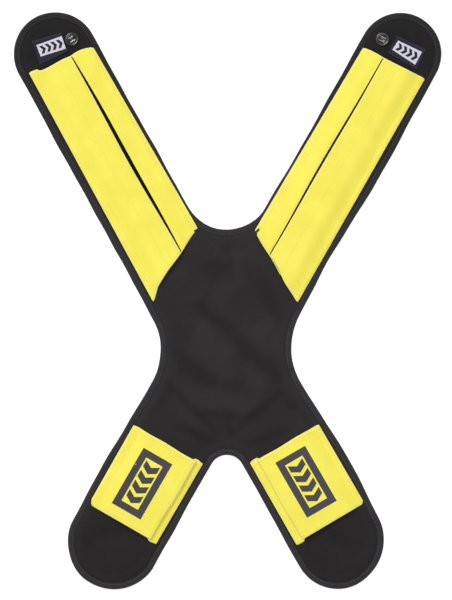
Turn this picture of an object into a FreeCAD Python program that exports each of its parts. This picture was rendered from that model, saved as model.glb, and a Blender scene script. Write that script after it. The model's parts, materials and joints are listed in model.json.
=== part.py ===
import FreeCAD, Part
import Sketcher
import math
import os

# Comfort pad for a full-body safety harness: a soft X-shaped yoke pad that the harness webbing is
# threaded through. It lies flat with its lining down at Z = 0 and its webbing sleeves up. +Y points to
# the two long upper arms, which go over the shoulders. The origin is under the middle of its outline.
#
# Each arm has its own local axes on its tip circle's centre: Y runs along the arm towards the middle of
# the pad, X runs across it, and "inner" is the side of the arm that faces the opposite arm.

SIZES = {
    # outline
    "pad_length": 634.0,
    "upper_span": 475.0,
    "lower_span": 350.0,
    "upper_width": 92.0,
    "lower_width": 102.0,
    "upper_lean": 29.5,
    "lower_lean": 30.0,
    "neck_radius": 48.0,
    "waist_radius": 71.5,
    "crotch_radius": 19.0,
    # layers
    "lining_thick": 1.0,
    "foam_thick": 6.0,
    "face_thick": 0.8,
    "tape_thick": 0.8,
    "tape_width": 7.0,
    "rim_thick": 2.4,
    # folds between the middle of the pad and its arms
    "fold_gap": 0.3,
    "fold_flare": 31.0,
    "fold_angle": 60.0,
    "fold_offset": 2.0,
    # webbing sleeves on the upper arms
    "sleeve_start": 11.0,
    "sleeve_outer_margin": 10.5,
    "sleeve_inner_margin": 3.5,
    "sleeve_margin": 7.5,
    "slit_inset": 27.0,
    # webbing bands on the lower arms
    "band_length": 99.0,
    "band_outer_margin": 5.5,
    "band_inner_margin": 9.5,
    "band_margin": 7.5,
    "band_step": 9.0,
    # cloth, hems and hook-and-loop of the sleeves and bands
    "hem_width": 5.0,
    "hem_thick": 0.8,
    "cloth_thick": 0.6,
    "riser_run": 8.0,
    "webbing_room": 4.6,
    "closure_width": 20.0,
    "hook_thick": 0.8,
    "loop_thick": 0.8,
    "clear_gap": 0.3,
    # printed patch on each band
    "patch_length": 71.0,
    "patch_width": 38.0,
    "patch_thick": 0.3,
    # woven label at each upper tip
    "label_length": 25.0,
    "label_width": 36.0,
    "label_thick": 0.5,
    "label_shift": 2.0,
    "label_reach": 6.0,
    # snap socket at each upper tip
    "snap_across": 26.5,
    "snap_reach": 5.0,
    "snap_outer": 15.0,
    "snap_bore": 8.0,
    "snap_tall": 3.4,
    "snap_lip": 1.6,
    "snap_chamber": 11.0,
    "snap_floor": 0.8,
    "wire_size": 0.8,
    "wire_gap": 4.4,
    "post_size": 4.0,
    "cap_size": 13.0,
}

RIM_SHARE = 0.5      # the compressed rim sits half way up the pad
REGION_SIZE = 1000.0  # side of the boxes that divide the pad, well over the length of any arm
QUARTER_TURN = 90.0
MEETING = 1e-4        # two ends this close are the same point of the outline

doc = FreeCAD.newDocument("harness_comfort_pad")
sheet = doc.addObject("Spreadsheet::Sheet", "Sizes")
for row, (alias, value) in enumerate(SIZES.items(), start=1):
    sheet.set(f"A{row}", alias.replace("_", " "))
    sheet.set(f"B{row}", str(value))
    sheet.setAlias(f"B{row}", alias)
doc.recompute()

nodes = []


def size(name):
    return sheet.get(name)


def worked_out(expression):
    return float(sheet.evalExpression(expression))


def bind(thing, **expressions):
    """Bind properties to expressions; a double underscore in a name stands for a dot."""
    for prop, expression in expressions.items():
        thing.setExpression(prop.replace("__", "."), expression)


def sub_part(thing, label):
    thing.Label = label
    nodes.append(thing)
    return thing


# ---------------------------------------------------------------- heights, from the lining up

FOAM_TOP = "(Sizes.lining_thick + Sizes.foam_thick)"
FACE_TOP = "(Sizes.lining_thick + Sizes.foam_thick + Sizes.face_thick)"
RIM_LOW = f"({FACE_TOP} * {RIM_SHARE} - Sizes.rim_thick / 2)"
RIM_TOP = f"({RIM_LOW} + Sizes.rim_thick)"
HEM_TOP = f"({FACE_TOP} + Sizes.hem_thick)"
UNDER_LOW = f"({FACE_TOP} + Sizes.webbing_room)"
UNDER_TOP = f"({UNDER_LOW} + Sizes.cloth_thick)"
HOOK_TOP = f"({UNDER_TOP} + Sizes.hook_thick)"
LOOP_LOW = f"({HOOK_TOP} + Sizes.clear_gap)"
OVER_LOW = f"({LOOP_LOW} + Sizes.loop_thick)"
OVER_TOP = f"({OVER_LOW} + Sizes.cloth_thick)"
FLAP_LOW = f"({FACE_TOP} + Sizes.clear_gap)"
SOCKET_FLOOR = f"({FACE_TOP} + Sizes.snap_floor)"
SOCKET_TOP = f"({FACE_TOP} + Sizes.snap_tall)"
LIP_LOW = f"({SOCKET_TOP} - Sizes.snap_lip)"

# ---------------------------------------------------------------- outline of the pad

UPPER_TIP_X = "(Sizes.upper_span - Sizes.upper_width) / 2"
UPPER_TIP_Y = "(Sizes.pad_length - Sizes.upper_width) / 2"
LOWER_TIP_X = "(Sizes.lower_span - Sizes.lower_width) / 2"
LOWER_TIP_Y = "-(Sizes.pad_length - Sizes.lower_width) / 2"


def arc_between(centre, first, last):
    """The shorter arc from first to last about centre; a sketch arc always runs anticlockwise."""
    from_angle = math.atan2(first.y - centre.y, first.x - centre.x)
    to_angle = math.atan2(last.y - centre.y, last.x - centre.x)
    if (to_angle - from_angle) % (2 * math.pi) > math.pi + 1e-6:
        from_angle, to_angle = to_angle, from_angle
    circle = Part.Circle(centre, FreeCAD.Vector(0, 0, 1), (first - centre).Length)
    return Part.ArcOfCircle(circle, from_angle, to_angle)


def right_half_points():
    """Tangent points and arc centres of the outline's right half, from the neck round to the crotch."""
    upper_lean = math.radians(size("upper_lean"))
    lower_lean = math.radians(size("lower_lean"))
    neck, waist, crotch = size("neck_radius"), size("waist_radius"), size("crotch_radius")
    upper_tip = FreeCAD.Vector(worked_out(UPPER_TIP_X), worked_out(UPPER_TIP_Y), 0)
    lower_tip = FreeCAD.Vector(worked_out(LOWER_TIP_X), worked_out(LOWER_TIP_Y), 0)
    upper_in = FreeCAD.Vector(-math.cos(upper_lean), math.sin(upper_lean), 0)
    lower_in = FreeCAD.Vector(-math.cos(lower_lean), -math.sin(lower_lean), 0)
    upper_down = FreeCAD.Vector(-math.sin(upper_lean), -math.cos(upper_lean), 0)
    lower_up = FreeCAD.Vector(-math.sin(lower_lean), math.cos(lower_lean), 0)
    upper_inner = upper_tip + upper_in * (size("upper_width") / 2)
    upper_outer = upper_tip - upper_in * (size("upper_width") / 2)
    lower_inner = lower_tip + lower_in * (size("lower_width") / 2)
    lower_outer = lower_tip - lower_in * (size("lower_width") / 2)
    neck_y = upper_inner.y + (neck + upper_inner.x * upper_in.x) / upper_in.y
    crotch_y = lower_inner.y + (crotch + lower_inner.x * lower_in.x) / lower_in.y
    neck_centre = FreeCAD.Vector(0, neck_y, 0)
    crotch_centre = FreeCAD.Vector(0, crotch_y, 0)
    apart = lower_outer - upper_outer
    turn = upper_lean + lower_lean
    upper_run = -(apart.x * lower_up.y - apart.y * lower_up.x) / math.sin(turn)
    corner = upper_outer + upper_down * upper_run
    cut_back = waist * math.tan(turn / 2)
    waist_upper = corner - upper_down * cut_back
    waist_lower = corner - lower_up * cut_back
    waist_centre = waist_upper - upper_in * waist
    return {
        "neck": neck_centre - upper_in * neck, "neck_centre": neck_centre,
        "upper_inner": upper_inner, "upper_tip": upper_tip, "upper_outer": upper_outer,
        "waist_upper": waist_upper, "waist_centre": waist_centre, "waist_lower": waist_lower,
        "lower_outer": lower_outer, "lower_tip": lower_tip, "lower_inner": lower_inner,
        "crotch": crotch_centre - lower_in * crotch, "crotch_centre": crotch_centre,
    }


def mirrored(point):
    return FreeCAD.Vector(-point.x, point.y, point.z)


def name_constraint(sketch, constraint, name, expression=None):
    number = sketch.addConstraint(constraint)
    sketch.renameConstraint(number, name)
    if expression:
        sketch.setExpression(f"Constraints.{name}", expression)
    return number


def make_outline():
    sketch = doc.addObject("Sketcher::SketchObject", "pad_outline")
    right = right_half_points()
    left = {name: mirrored(point) for name, point in right.items()}
    lines, arcs = {}, {}

    def add_line(name, first, last):
        lines[name] = sketch.addGeometry(Part.LineSegment(first, last))

    def add_side(side, at):
        """One side of the outline, from the neck down to the crotch."""
        add_line(f"{side}_upper_inner", at["neck"], at["upper_inner"])
        arcs[f"{side}_upper_tip"] = sketch.addGeometry(tip_arc(at, "upper"))
        add_line(f"{side}_upper_outer", at["upper_outer"], at["waist_upper"])
        waist = arc_between(at["waist_centre"], at["waist_upper"], at["waist_lower"])
        arcs[f"{side}_waist"] = sketch.addGeometry(waist)
        add_line(f"{side}_lower_outer", at["waist_lower"], at["lower_outer"])
        arcs[f"{side}_lower_tip"] = sketch.addGeometry(tip_arc(at, "lower"))
        add_line(f"{side}_lower_inner", at["lower_inner"], at["crotch"])

    def tip_arc(at, arm):
        centre, inner, outer = at[f"{arm}_tip"], at[f"{arm}_inner"], at[f"{arm}_outer"]
        away = (centre - at["waist_centre"]).normalize()
        far = centre + away * (inner - centre).Length
        turn = math.atan2(inner.y - centre.y, inner.x - centre.x)
        across = (math.atan2(far.y - centre.y, far.x - centre.x) - turn) % (2 * math.pi)
        first = turn if across < math.pi else turn + math.pi
        circle = Part.Circle(centre, FreeCAD.Vector(0, 0, 1), (inner - centre).Length)
        return Part.ArcOfCircle(circle, first, first + math.pi)

    add_side("right", right)
    add_side("left", left)
    neck = arc_between(right["neck_centre"], left["neck"], right["neck"])
    crotch = arc_between(right["crotch_centre"], left["crotch"], right["crotch"])
    arcs["neck"] = sketch.addGeometry(neck)
    arcs["crotch"] = sketch.addGeometry(crotch)

    # every line runs smoothly into the arc at each of its ends
    for line in lines.values():
        for line_end in (1, 2):
            meeting = sketch.getPoint(line, line_end)
            for arc in arcs.values():
                for arc_end in (1, 2):
                    if sketch.getPoint(arc, arc_end).distanceToPoint(meeting) < MEETING:
                        sketch.addConstraint(Sketcher.Constraint("Tangent", line, line_end, arc, arc_end))

    radii = {"neck": "Sizes.neck_radius", "crotch": "Sizes.crotch_radius"}
    for side in ("right", "left"):
        radii[f"{side}_waist"] = "Sizes.waist_radius"
        radii[f"{side}_upper_tip"] = "Sizes.upper_width / 2"
        radii[f"{side}_lower_tip"] = "Sizes.lower_width / 2"
    for name, expression in radii.items():
        radius = Sketcher.Constraint("Radius", arcs[name], worked_out(expression))
        name_constraint(sketch, radius, f"{name}_radius", expression)

    for side, sign in (("right", 1), ("left", -1)):
        for arm, tip_x, tip_y in (("upper", UPPER_TIP_X, UPPER_TIP_Y), ("lower", LOWER_TIP_X, LOWER_TIP_Y)):
            arc = arcs[f"{side}_{arm}_tip"]
            place_x = f"{sign} * {tip_x}"
            along = Sketcher.Constraint("DistanceX", -1, 1, arc, 3, worked_out(place_x))
            up = Sketcher.Constraint("DistanceY", -1, 1, arc, 3, worked_out(tip_y))
            name_constraint(sketch, along, f"{side}_{arm}_tip_x", place_x)
            name_constraint(sketch, up, f"{side}_{arm}_tip_y", tip_y)
            for edge in ("inner", "outer"):
                number = lines[f"{side}_{arm}_{edge}"]
                segment = sketch.Geometry[number]
                run = segment.EndPoint - segment.StartPoint
                angle = math.atan2(run.y, run.x)
                quarter = QUARTER_TURN if run.y > 0 else -QUARTER_TURN
                turned = "+" if math.degrees(angle) > quarter else "-"
                direction = Sketcher.Constraint("Angle", number, angle)
                name_constraint(sketch, direction, f"{side}_{arm}_{edge}_angle",
                                f"{quarter} {turned} Sizes.{arm}_lean")

    # reference lengths that place the folds: an arm's edge from its tip circle to the waist or crotch curve
    for name, line in (("upper_run", "right_upper_outer"), ("lower_run", "right_lower_inner")):
        number = lines[line]
        length = sketch.Geometry[number].length()
        constraint = name_constraint(sketch, Sketcher.Constraint("Distance", number, length), name)
        sketch.setDriving(constraint, False)
    return sketch


outline = make_outline()
doc.recompute()

UPPER_FOLD = ("(pad_outline.Constraints.upper_run / 1mm + Sizes.fold_offset"
              " - Sizes.upper_width / 2 / tan(Sizes.fold_angle))")
LOWER_FOLD = "(pad_outline.Constraints.lower_run / 1mm + Sizes.fold_offset)"

# Placement of each arm's local axes: turn about Z, tip circle's centre, and the sign that takes a
# distance towards the inner side to the local X axis.
ARMS = {
    "left_upper": ("180 + Sizes.upper_lean", f"-{UPPER_TIP_X}", UPPER_TIP_Y, -1),
    "right_upper": ("180 - Sizes.upper_lean", UPPER_TIP_X, UPPER_TIP_Y, 1),
    "left_lower": ("-Sizes.lower_lean", f"-{LOWER_TIP_X}", LOWER_TIP_Y, 1),
    "right_lower": ("Sizes.lower_lean", LOWER_TIP_X, LOWER_TIP_Y, -1),
}


# Where the sleeves and bands lie across their arms, from the arm's centre line towards its inner side.
SLEEVE_OUTER = "(Sizes.sleeve_outer_margin - Sizes.upper_width / 2)"
SLEEVE_INNER = "(Sizes.upper_width / 2 - Sizes.sleeve_inner_margin)"
SLIT = f"({SLEEVE_INNER} - Sizes.slit_inset)"
BAND_OUTER = "(Sizes.band_outer_margin - Sizes.lower_width / 2)"
BAND_INNER = "(Sizes.lower_width / 2 - Sizes.band_inner_margin)"
BAND_MIDDLE = f"({BAND_OUTER} + {BAND_INNER}) / 2"
BAND_STEP = f"({BAND_INNER} - Sizes.band_step)"


def is_upper(arm):
    return arm.endswith("upper")


def local_placement(arm):
    turn, tip_x, tip_y, _ = ARMS[arm]
    place = FreeCAD.Vector(worked_out(tip_x), worked_out(tip_y), 0)
    return FreeCAD.Placement(place, FreeCAD.Rotation(FreeCAD.Vector(0, 0, 1), worked_out(turn)))


def place_on_arm(thing, arm):
    """Give a body the arm's local axes."""
    turn, tip_x, tip_y, _ = ARMS[arm]
    thing.Placement = local_placement(arm)
    bind(thing, Placement__Base__x=tip_x, Placement__Base__y=tip_y, Placement__Rotation__Angle=turn)


# ---------------------------------------------------------------- layers of the whole pad


def slab(name, inset, low, high):
    """A flat slab inside the outline, inset from it and standing between two heights."""
    source = outline
    if inset:
        source = doc.addObject("Part::Offset2D", f"{name}_outline")
        source.Source = outline
        source.Value = -worked_out(inset)
        bind(source, Value=f"-{inset}")
    plate = doc.addObject("Part::Extrusion", name)
    plate.Base = source
    plate.DirMode = "Custom"
    plate.Dir = FreeCAD.Vector(0, 0, 1)
    plate.Solid = True
    bind(plate, LengthFwd=f"{high} - {low}", Placement__Base__z=low)
    return plate


def joined(name, shapes):
    fuse = doc.addObject("Part::MultiFuse", name)
    fuse.Shapes = shapes
    return fuse


def cut_from(name, base, tool):
    cut = doc.addObject("Part::Cut", name)
    cut.Base = base
    cut.Tool = tool
    return cut


def spot_on_arm(arm, across, reach):
    """Where a spot of an arm lies in the pad's own axes; across is positive towards the inner side."""
    turn, tip_x, tip_y, side = ARMS[arm]
    x = f"{tip_x} + {side} * ({across}) * cos({turn}) - ({reach}) * sin({turn})"
    y = f"{tip_y} + {side} * ({across}) * sin({turn}) + ({reach}) * cos({turn})"
    return x, y


def snap_cylinder(name, arm, diameter, low, high):
    """An upright cylinder on the snap's axis, near the inner edge of an upper tip."""
    x, y = spot_on_arm(arm, "Sizes.snap_across", "-Sizes.snap_reach")
    rod = doc.addObject("Part::Cylinder", name)
    bind(rod, Radius=f"{diameter} / 2", Height=f"{high} - {low}",
         Placement__Base__x=x, Placement__Base__y=y, Placement__Base__z=low)
    return rod


core = slab("core_layer", "Sizes.tape_width", "0", FACE_TOP)
rim = slab("rim_layer", "Sizes.tape_thick", RIM_LOW, RIM_TOP)
foam_block = slab("foam_block", "Sizes.tape_width", "Sizes.lining_thick", FOAM_TOP)
lining_sheet = slab("lining_sheet", "Sizes.tape_width", "0", "Sizes.lining_thick")
face_sheet = slab("face_sheet", "Sizes.tape_width", FOAM_TOP, FACE_TOP)
tape_block = slab("tape_block", None, f"({RIM_LOW} - Sizes.tape_thick)", f"({RIM_TOP} + Sizes.tape_thick)")

posts = [snap_cylinder(f"{arm}_post_hole", arm, "Sizes.post_size", "0", FACE_TOP)
         for arm in ARMS if is_upper(arm)]
caps = [snap_cylinder(f"{arm}_cap_hole", arm, "Sizes.cap_size", "0", "Sizes.lining_thick")
        for arm in ARMS if is_upper(arm)]
post_holes = joined("post_holes", posts)
cap_holes = joined("cap_holes", caps)

layers = {
    "lining": cut_from("lining_layer", lining_sheet, cap_holes),
    "foam": cut_from("foam_layer", joined("foam_with_rim", [foam_block, rim]), post_holes),
    "face_cloth": cut_from("face_layer", face_sheet, post_holes),
    "edge_binding": cut_from("binding_layer", tape_block, joined("binding_filling", [rim, core])),
}

# ---------------------------------------------------------------- dividing the pad at its folds


def fold_region(name, arm, outward):
    """A box whose near face leans away from the fold, so that the layers leave a V that opens upwards.

    outward is 1 for the arm's side of the fold and -1 for the middle's side.
    """
    turn, _, _, side = ARMS[arm]
    reach = UPPER_FOLD if is_upper(arm) else LOWER_FOLD
    lean = f"{side} * (Sizes.fold_angle - {QUARTER_TURN})" if is_upper(arm) else "0"
    # an upper arm leans away from its fold's square, so its box is wider
    width = "3 * Sizes.upper_width" if is_upper(arm) else "Sizes.lower_width"
    box = doc.addObject("Part::Box", name)
    box.Width = REGION_SIZE
    box.Height = REGION_SIZE
    bind(box, Length=f"2 * {width}")
    heading = worked_out(f"{turn} + {lean}")
    flare = worked_out("Sizes.fold_flare")
    gap = worked_out("Sizes.fold_gap") / 2
    fold_point = local_placement(arm).multVec(FreeCAD.Vector(0, worked_out(reach), 0))
    # the box's own corner goes to the fold line, and its Y side lies along the arm
    along = FreeCAD.Rotation(FreeCAD.Vector(0, 0, 1), heading)
    tilt = FreeCAD.Rotation(FreeCAD.Vector(1, 0, 0), flare * outward)
    corner = FreeCAD.Vector(-worked_out(width), -REGION_SIZE - gap * outward, -REGION_SIZE / 2)
    turned = FreeCAD.Placement(fold_point, along.multiply(tilt))
    box.Placement = turned.multiply(FreeCAD.Placement(corner, FreeCAD.Rotation()))
    return box


arm_regions = {arm: fold_region(f"{arm}_region", arm, 1) for arm in ARMS}
middle_limits = joined("middle_limits", [fold_region(f"{arm}_limit", arm, -1) for arm in ARMS])

for layer_name, layer in layers.items():
    sub_part(cut_from(f"middle_{layer_name}", layer, middle_limits), f"centre_{layer_name}")
    for arm, region in arm_regions.items():
        part = doc.addObject("Part::Common", f"{arm}_{layer_name}")
        part.Base = layer
        part.Tool = region
        sub_part(part, f"{arm}_{layer_name}")

# ---------------------------------------------------------------- sewn-on pieces, drawn on an arm's axes


def plane_of(body, role):
    return next(feature for feature in body.Origin.OriginFeatures if feature.Role == role)


def polygon_on(body, name, role, corners, forward="0"):
    """A closed polygon on one of the body's planes, each corner given by two expressions."""
    sketch = body.newObject("Sketcher::SketchObject", name)
    sketch.AttachmentSupport = [(plane_of(body, role), "")]
    sketch.MapMode = "FlatFace"
    bind(sketch, AttachmentOffset__Base__z=forward)
    points = [FreeCAD.Vector(worked_out(x), worked_out(y), 0) for x, y in corners]
    count = len(points)
    for number in range(count):
        sketch.addGeometry(Part.LineSegment(points[number], points[(number + 1) % count]))
    for number, (x, y) in enumerate(corners):
        sketch.addConstraint(Sketcher.Constraint("Coincident", number, 2, (number + 1) % count, 1))
        along = Sketcher.Constraint("DistanceX", -1, 1, number, 1, points[number].x)
        up = Sketcher.Constraint("DistanceY", -1, 1, number, 1, points[number].y)
        name_constraint(sketch, along, f"corner_{number}_x", x)
        name_constraint(sketch, up, f"corner_{number}_y", y)
    return sketch


def rectangle(first, last, low, high):
    return [(first, low), (last, low), (last, high), (first, high)]


def section_strip(label, arm, corners, start, length):
    """A piece with one cross-section all along the arm, from start for length.

    corners are (across, height) pairs, across being positive towards the arm's inner side.
    """
    side = ARMS[arm][3]
    body = doc.addObject("PartDesign::Body", f"{label}_body")
    place_on_arm(body, arm)
    turned = [(f"{side} * ({across})", height) for across, height in corners]
    section = polygon_on(body, f"{label}_section", "XZ_Plane", turned, f"-({start})")
    pad = body.newObject("PartDesign::Pad", f"{label}_pad")
    pad.Profile = section
    pad.Reversed = True
    bind(pad, Length=length)
    return sub_part(body, label)


def flat_piece(label, arm, middle, reach, width, length, low, thick):
    """A flat rectangle centred at (middle, reach) on the arm."""
    side = ARMS[arm][3]
    body = doc.addObject("PartDesign::Body", f"{label}_body")
    place_on_arm(body, arm)
    left, right = f"{side} * ({middle}) - {width} / 2", f"{side} * ({middle}) + {width} / 2"
    near, far = f"{reach} - {length} / 2", f"{reach} + {length} / 2"
    corners = rectangle(left, right, near, far)
    plan = polygon_on(body, f"{label}_plan", "XY_Plane", corners, low)
    pad = body.newObject("PartDesign::Pad", f"{label}_pad")
    pad.Profile = plan
    bind(pad, Length=thick)
    return sub_part(body, label)


def trim_to_cut(body, label, arm, cut_reach):
    """Cut a strip's far end along the sleeve's slanting lower edge."""
    side = ARMS[arm][3]
    half = "Sizes.upper_width"
    slope = f"tan({QUARTER_TURN} - Sizes.fold_angle)"
    corners = [
        (f"{-side} * {half}", f"{cut_reach} + {half} * {slope}"),
        (f"{side} * {half}", f"{cut_reach} - {half} * {slope}"),
        (f"{side} * {half}", f"{cut_reach} + 2 * {half}"),
        (f"{-side} * {half}", f"{cut_reach} + 2 * {half}"),
    ]
    plan = polygon_on(body, f"{label}_trim_plan", "XY_Plane", corners)
    before = body.Shape.Volume
    trim = body.newObject("PartDesign::Pocket", f"{label}_trim")
    trim.Profile = plan
    trim.Type = "ThroughAll"
    trim.Reversed = True
    doc.recompute()
    if body.Shape.Volume >= before:
        raise RuntimeError(f"{label}: the trim cuts nothing")


def bent_flap(hinge, free_edge, inward, low, top):
    """Section of a flap: a riser slopes up from its hinge, and a flat roof runs on to its free edge."""
    foot = f"{hinge} + {inward} * Sizes.clear_gap"
    shoulder = f"{hinge} + {inward} * Sizes.riser_run"
    steep = f"{inward} * Sizes.cloth_thick"
    return [
        (f"{foot} + {steep}", FLAP_LOW),
        (f"{shoulder} + {steep}", low),
        (free_edge, low),
        (free_edge, top),
        (shoulder, top),
        (foot, f"{FLAP_LOW} + Sizes.cloth_thick"),
    ]


def webbing_tunnel(arm, prefix, outer, inner, meeting, start, length, trim_at=None):
    """Two flaps that close over the webbing: hems sewn to the arm, a wide outer flap with loop
    under it and a narrow inner flap with hook on it.

    outer and inner are the places of the two hems' outside edges, meeting that of the wide flap's
    free edge.
    """
    outer_hinge = f"{outer} + Sizes.hem_width"
    inner_hinge = f"{inner} - Sizes.hem_width"
    closure = (f"{meeting} - Sizes.closure_width", f"{meeting} - Sizes.clear_gap")
    wide, narrow = ("wide_flap", "narrow_flap") if trim_at else ("flap", "tongue")
    pieces = {
        "outer_hem": rectangle(outer, outer_hinge, FACE_TOP, HEM_TOP),
        "inner_hem": rectangle(inner_hinge, inner, FACE_TOP, HEM_TOP),
        wide: bent_flap(outer_hinge, meeting, 1, OVER_LOW, OVER_TOP),
        narrow: bent_flap(inner_hinge, closure[0], -1, UNDER_LOW, UNDER_TOP),
        "hook_strip": rectangle(*closure, UNDER_TOP, HOOK_TOP),
        "loop_strip": rectangle(*closure, LOOP_LOW, OVER_LOW),
    }
    for piece, corners in pieces.items():
        label = f"{prefix}_{piece}"
        body = section_strip(label, arm, corners, start, length)
        if trim_at:
            doc.recompute()
            trim_to_cut(body, label, arm, trim_at)


for arm in ARMS:
    hand = arm.split("_")[0]
    if is_upper(arm):
        cut_reach = f"({UPPER_FOLD} - Sizes.sleeve_margin / sin(Sizes.fold_angle))"
        webbing_tunnel(arm, f"{hand}_sleeve", SLEEVE_OUTER, SLEEVE_INNER, SLIT, "Sizes.sleeve_start",
                       f"{cut_reach} + Sizes.upper_width - Sizes.sleeve_start", cut_reach)
        flat_piece(f"{hand}_woven_label", arm, "-Sizes.label_shift", "-Sizes.label_reach",
                   "Sizes.label_width", "Sizes.label_length", FACE_TOP, "Sizes.label_thick")
    else:
        band_start = f"({LOWER_FOLD} - Sizes.band_margin - Sizes.band_length)"
        webbing_tunnel(arm, f"{hand}_band", BAND_OUTER, BAND_INNER, BAND_STEP,
                       band_start, "Sizes.band_length")
        flat_piece(f"{hand}_band_print", arm, BAND_MIDDLE, f"{band_start} + Sizes.band_length / 2",
                   "Sizes.patch_width", "Sizes.patch_length", OVER_TOP, "Sizes.patch_thick")

# ---------------------------------------------------------------- snap sockets on the upper tips


def turned_piece(label, arm, profile):
    """A piece turned about the snap's upright axis from (radius, height) corners."""
    x, y = spot_on_arm(arm, "Sizes.snap_across", "-Sizes.snap_reach")
    body = doc.addObject("PartDesign::Body", f"{label}_body")
    body.Placement = local_placement(arm)
    bind(body, Placement__Base__x=x, Placement__Base__y=y)
    section = polygon_on(body, f"{label}_section", "XZ_Plane", profile)
    turned = body.newObject("PartDesign::Revolution", f"{label}_turned")
    turned.Profile = section
    turned.ReferenceAxis = (section, ["V_Axis"])
    turned.Angle = 4 * QUARTER_TURN
    return sub_part(body, label)


def snap_wires(hand, arm):
    """The snap's spring: two straight wires, laid across the arm, that grip a stud's neck between them."""
    turn, side = ARMS[arm][0], ARMS[arm][3]
    chord = "sqrt(pow(Sizes.snap_chamber; 2) - pow(Sizes.wire_gap + 2 * Sizes.wire_size; 2))"
    height = f"{SOCKET_FLOOR} + Sizes.wire_size / 2"
    upright = FreeCAD.Rotation(FreeCAD.Vector(0, 0, 1), worked_out(turn))
    lying = upright.multiply(FreeCAD.Rotation(FreeCAD.Vector(0, 1, 0), QUARTER_TURN))
    wires = []
    for name, sign in (("near", -1), ("far", 1)):
        reach = f"-Sizes.snap_reach + {sign} * (Sizes.wire_gap + Sizes.wire_size) / 2"
        x, y = spot_on_arm(arm, f"Sizes.snap_across - {side} * {chord} / 2", reach)
        wire = doc.addObject("Part::Cylinder", f"{hand}_snap_wire_{name}")
        wire.Placement = FreeCAD.Placement(FreeCAD.Vector(), lying)
        bind(wire, Radius="Sizes.wire_size / 2", Height=chord,
             Placement__Base__x=x, Placement__Base__y=y, Placement__Base__z=height)
        wires.append(wire)
    return joined(f"{hand}_snap_wires", wires)


for arm in ARMS:
    if not is_upper(arm):
        continue
    hand = arm.split("_")[0]
    turned_piece(f"{hand}_snap_socket", arm, [
        ("0", FACE_TOP),
        ("Sizes.snap_outer / 2 - Sizes.snap_floor", FACE_TOP),
        ("Sizes.snap_outer / 2", SOCKET_FLOOR),
        ("Sizes.snap_outer / 2", f"{SOCKET_TOP} - Sizes.snap_floor"),
        ("Sizes.snap_outer / 2 - Sizes.snap_floor", SOCKET_TOP),
        ("Sizes.snap_bore / 2", SOCKET_TOP),
        ("Sizes.snap_bore / 2", LIP_LOW),
        ("Sizes.snap_chamber / 2", LIP_LOW),
        ("Sizes.snap_chamber / 2", SOCKET_FLOOR),
        ("0", SOCKET_FLOOR),
    ])
    turned_piece(f"{hand}_snap_cap", arm, [
        ("0", "Sizes.clear_gap"),
        ("Sizes.cap_size / 2 - Sizes.clear_gap", "Sizes.clear_gap"),
        ("Sizes.cap_size / 2", "Sizes.clear_gap * 2"),
        ("Sizes.cap_size / 2", "Sizes.lining_thick"),
        ("Sizes.post_size / 2", "Sizes.lining_thick"),
        ("Sizes.post_size / 2", FACE_TOP),
        ("0", FACE_TOP),
    ])
    sub_part(snap_wires(hand, arm), f"{hand}_snap_spring")

# ---------------------------------------------------------------- checks and output

doc.recompute()
for thing in doc.Objects:
    if "Invalid" in thing.State or "Error" in thing.State:
        raise RuntimeError(f"{thing.Label} failed: {thing.State}")
for node in nodes:
    if node.Shape.isNull() or not node.Shape.isValid() or not node.Shape.Solids:
        raise RuntimeError(f"{node.Label} has no valid solid")

os.makedirs("parts", exist_ok=True)
for node in nodes:
    node.Shape.exportStep(f"parts/{node.Label}.step")
print(f"{len(nodes)} sub-parts written")
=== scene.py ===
import bpy, bmesh, json, math
import numpy as np
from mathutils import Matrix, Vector
from mathutils.bvhtree import BVHTree


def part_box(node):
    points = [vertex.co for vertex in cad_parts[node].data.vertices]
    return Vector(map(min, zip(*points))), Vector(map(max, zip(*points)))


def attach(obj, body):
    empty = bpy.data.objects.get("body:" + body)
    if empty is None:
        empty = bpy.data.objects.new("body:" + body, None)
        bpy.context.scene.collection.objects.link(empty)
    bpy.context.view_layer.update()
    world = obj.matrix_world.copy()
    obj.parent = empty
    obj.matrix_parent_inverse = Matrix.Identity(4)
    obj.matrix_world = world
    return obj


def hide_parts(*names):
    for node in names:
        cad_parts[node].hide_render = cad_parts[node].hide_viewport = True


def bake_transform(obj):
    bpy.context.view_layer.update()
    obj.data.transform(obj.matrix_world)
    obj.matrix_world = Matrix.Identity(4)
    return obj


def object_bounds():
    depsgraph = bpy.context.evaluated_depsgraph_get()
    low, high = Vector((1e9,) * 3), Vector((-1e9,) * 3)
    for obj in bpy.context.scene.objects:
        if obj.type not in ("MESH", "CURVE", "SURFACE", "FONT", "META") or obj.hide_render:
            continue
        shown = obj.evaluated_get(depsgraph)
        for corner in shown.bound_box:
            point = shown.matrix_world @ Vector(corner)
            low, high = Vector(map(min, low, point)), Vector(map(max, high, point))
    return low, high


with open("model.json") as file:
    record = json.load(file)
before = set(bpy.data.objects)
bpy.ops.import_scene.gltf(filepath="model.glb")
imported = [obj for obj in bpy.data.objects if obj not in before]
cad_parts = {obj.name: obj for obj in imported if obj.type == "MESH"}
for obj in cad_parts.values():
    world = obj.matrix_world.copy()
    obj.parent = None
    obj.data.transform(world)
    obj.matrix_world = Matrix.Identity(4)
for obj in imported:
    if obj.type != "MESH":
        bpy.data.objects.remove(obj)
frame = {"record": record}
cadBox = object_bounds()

joints = {joint["name"]: joint for joint in frame["record"]["behaviour"]["joints"]}
hands = ("left", "right")


def report(stage):
    print("pad:", stage)


# small helpers for numbers

def ease(t):
    t = np.clip(t, 0, 1)
    return t * t * (3 - 2 * t)


def hump(x, middle, width):
    return np.exp(-((x - middle) / width) ** 2)


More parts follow.
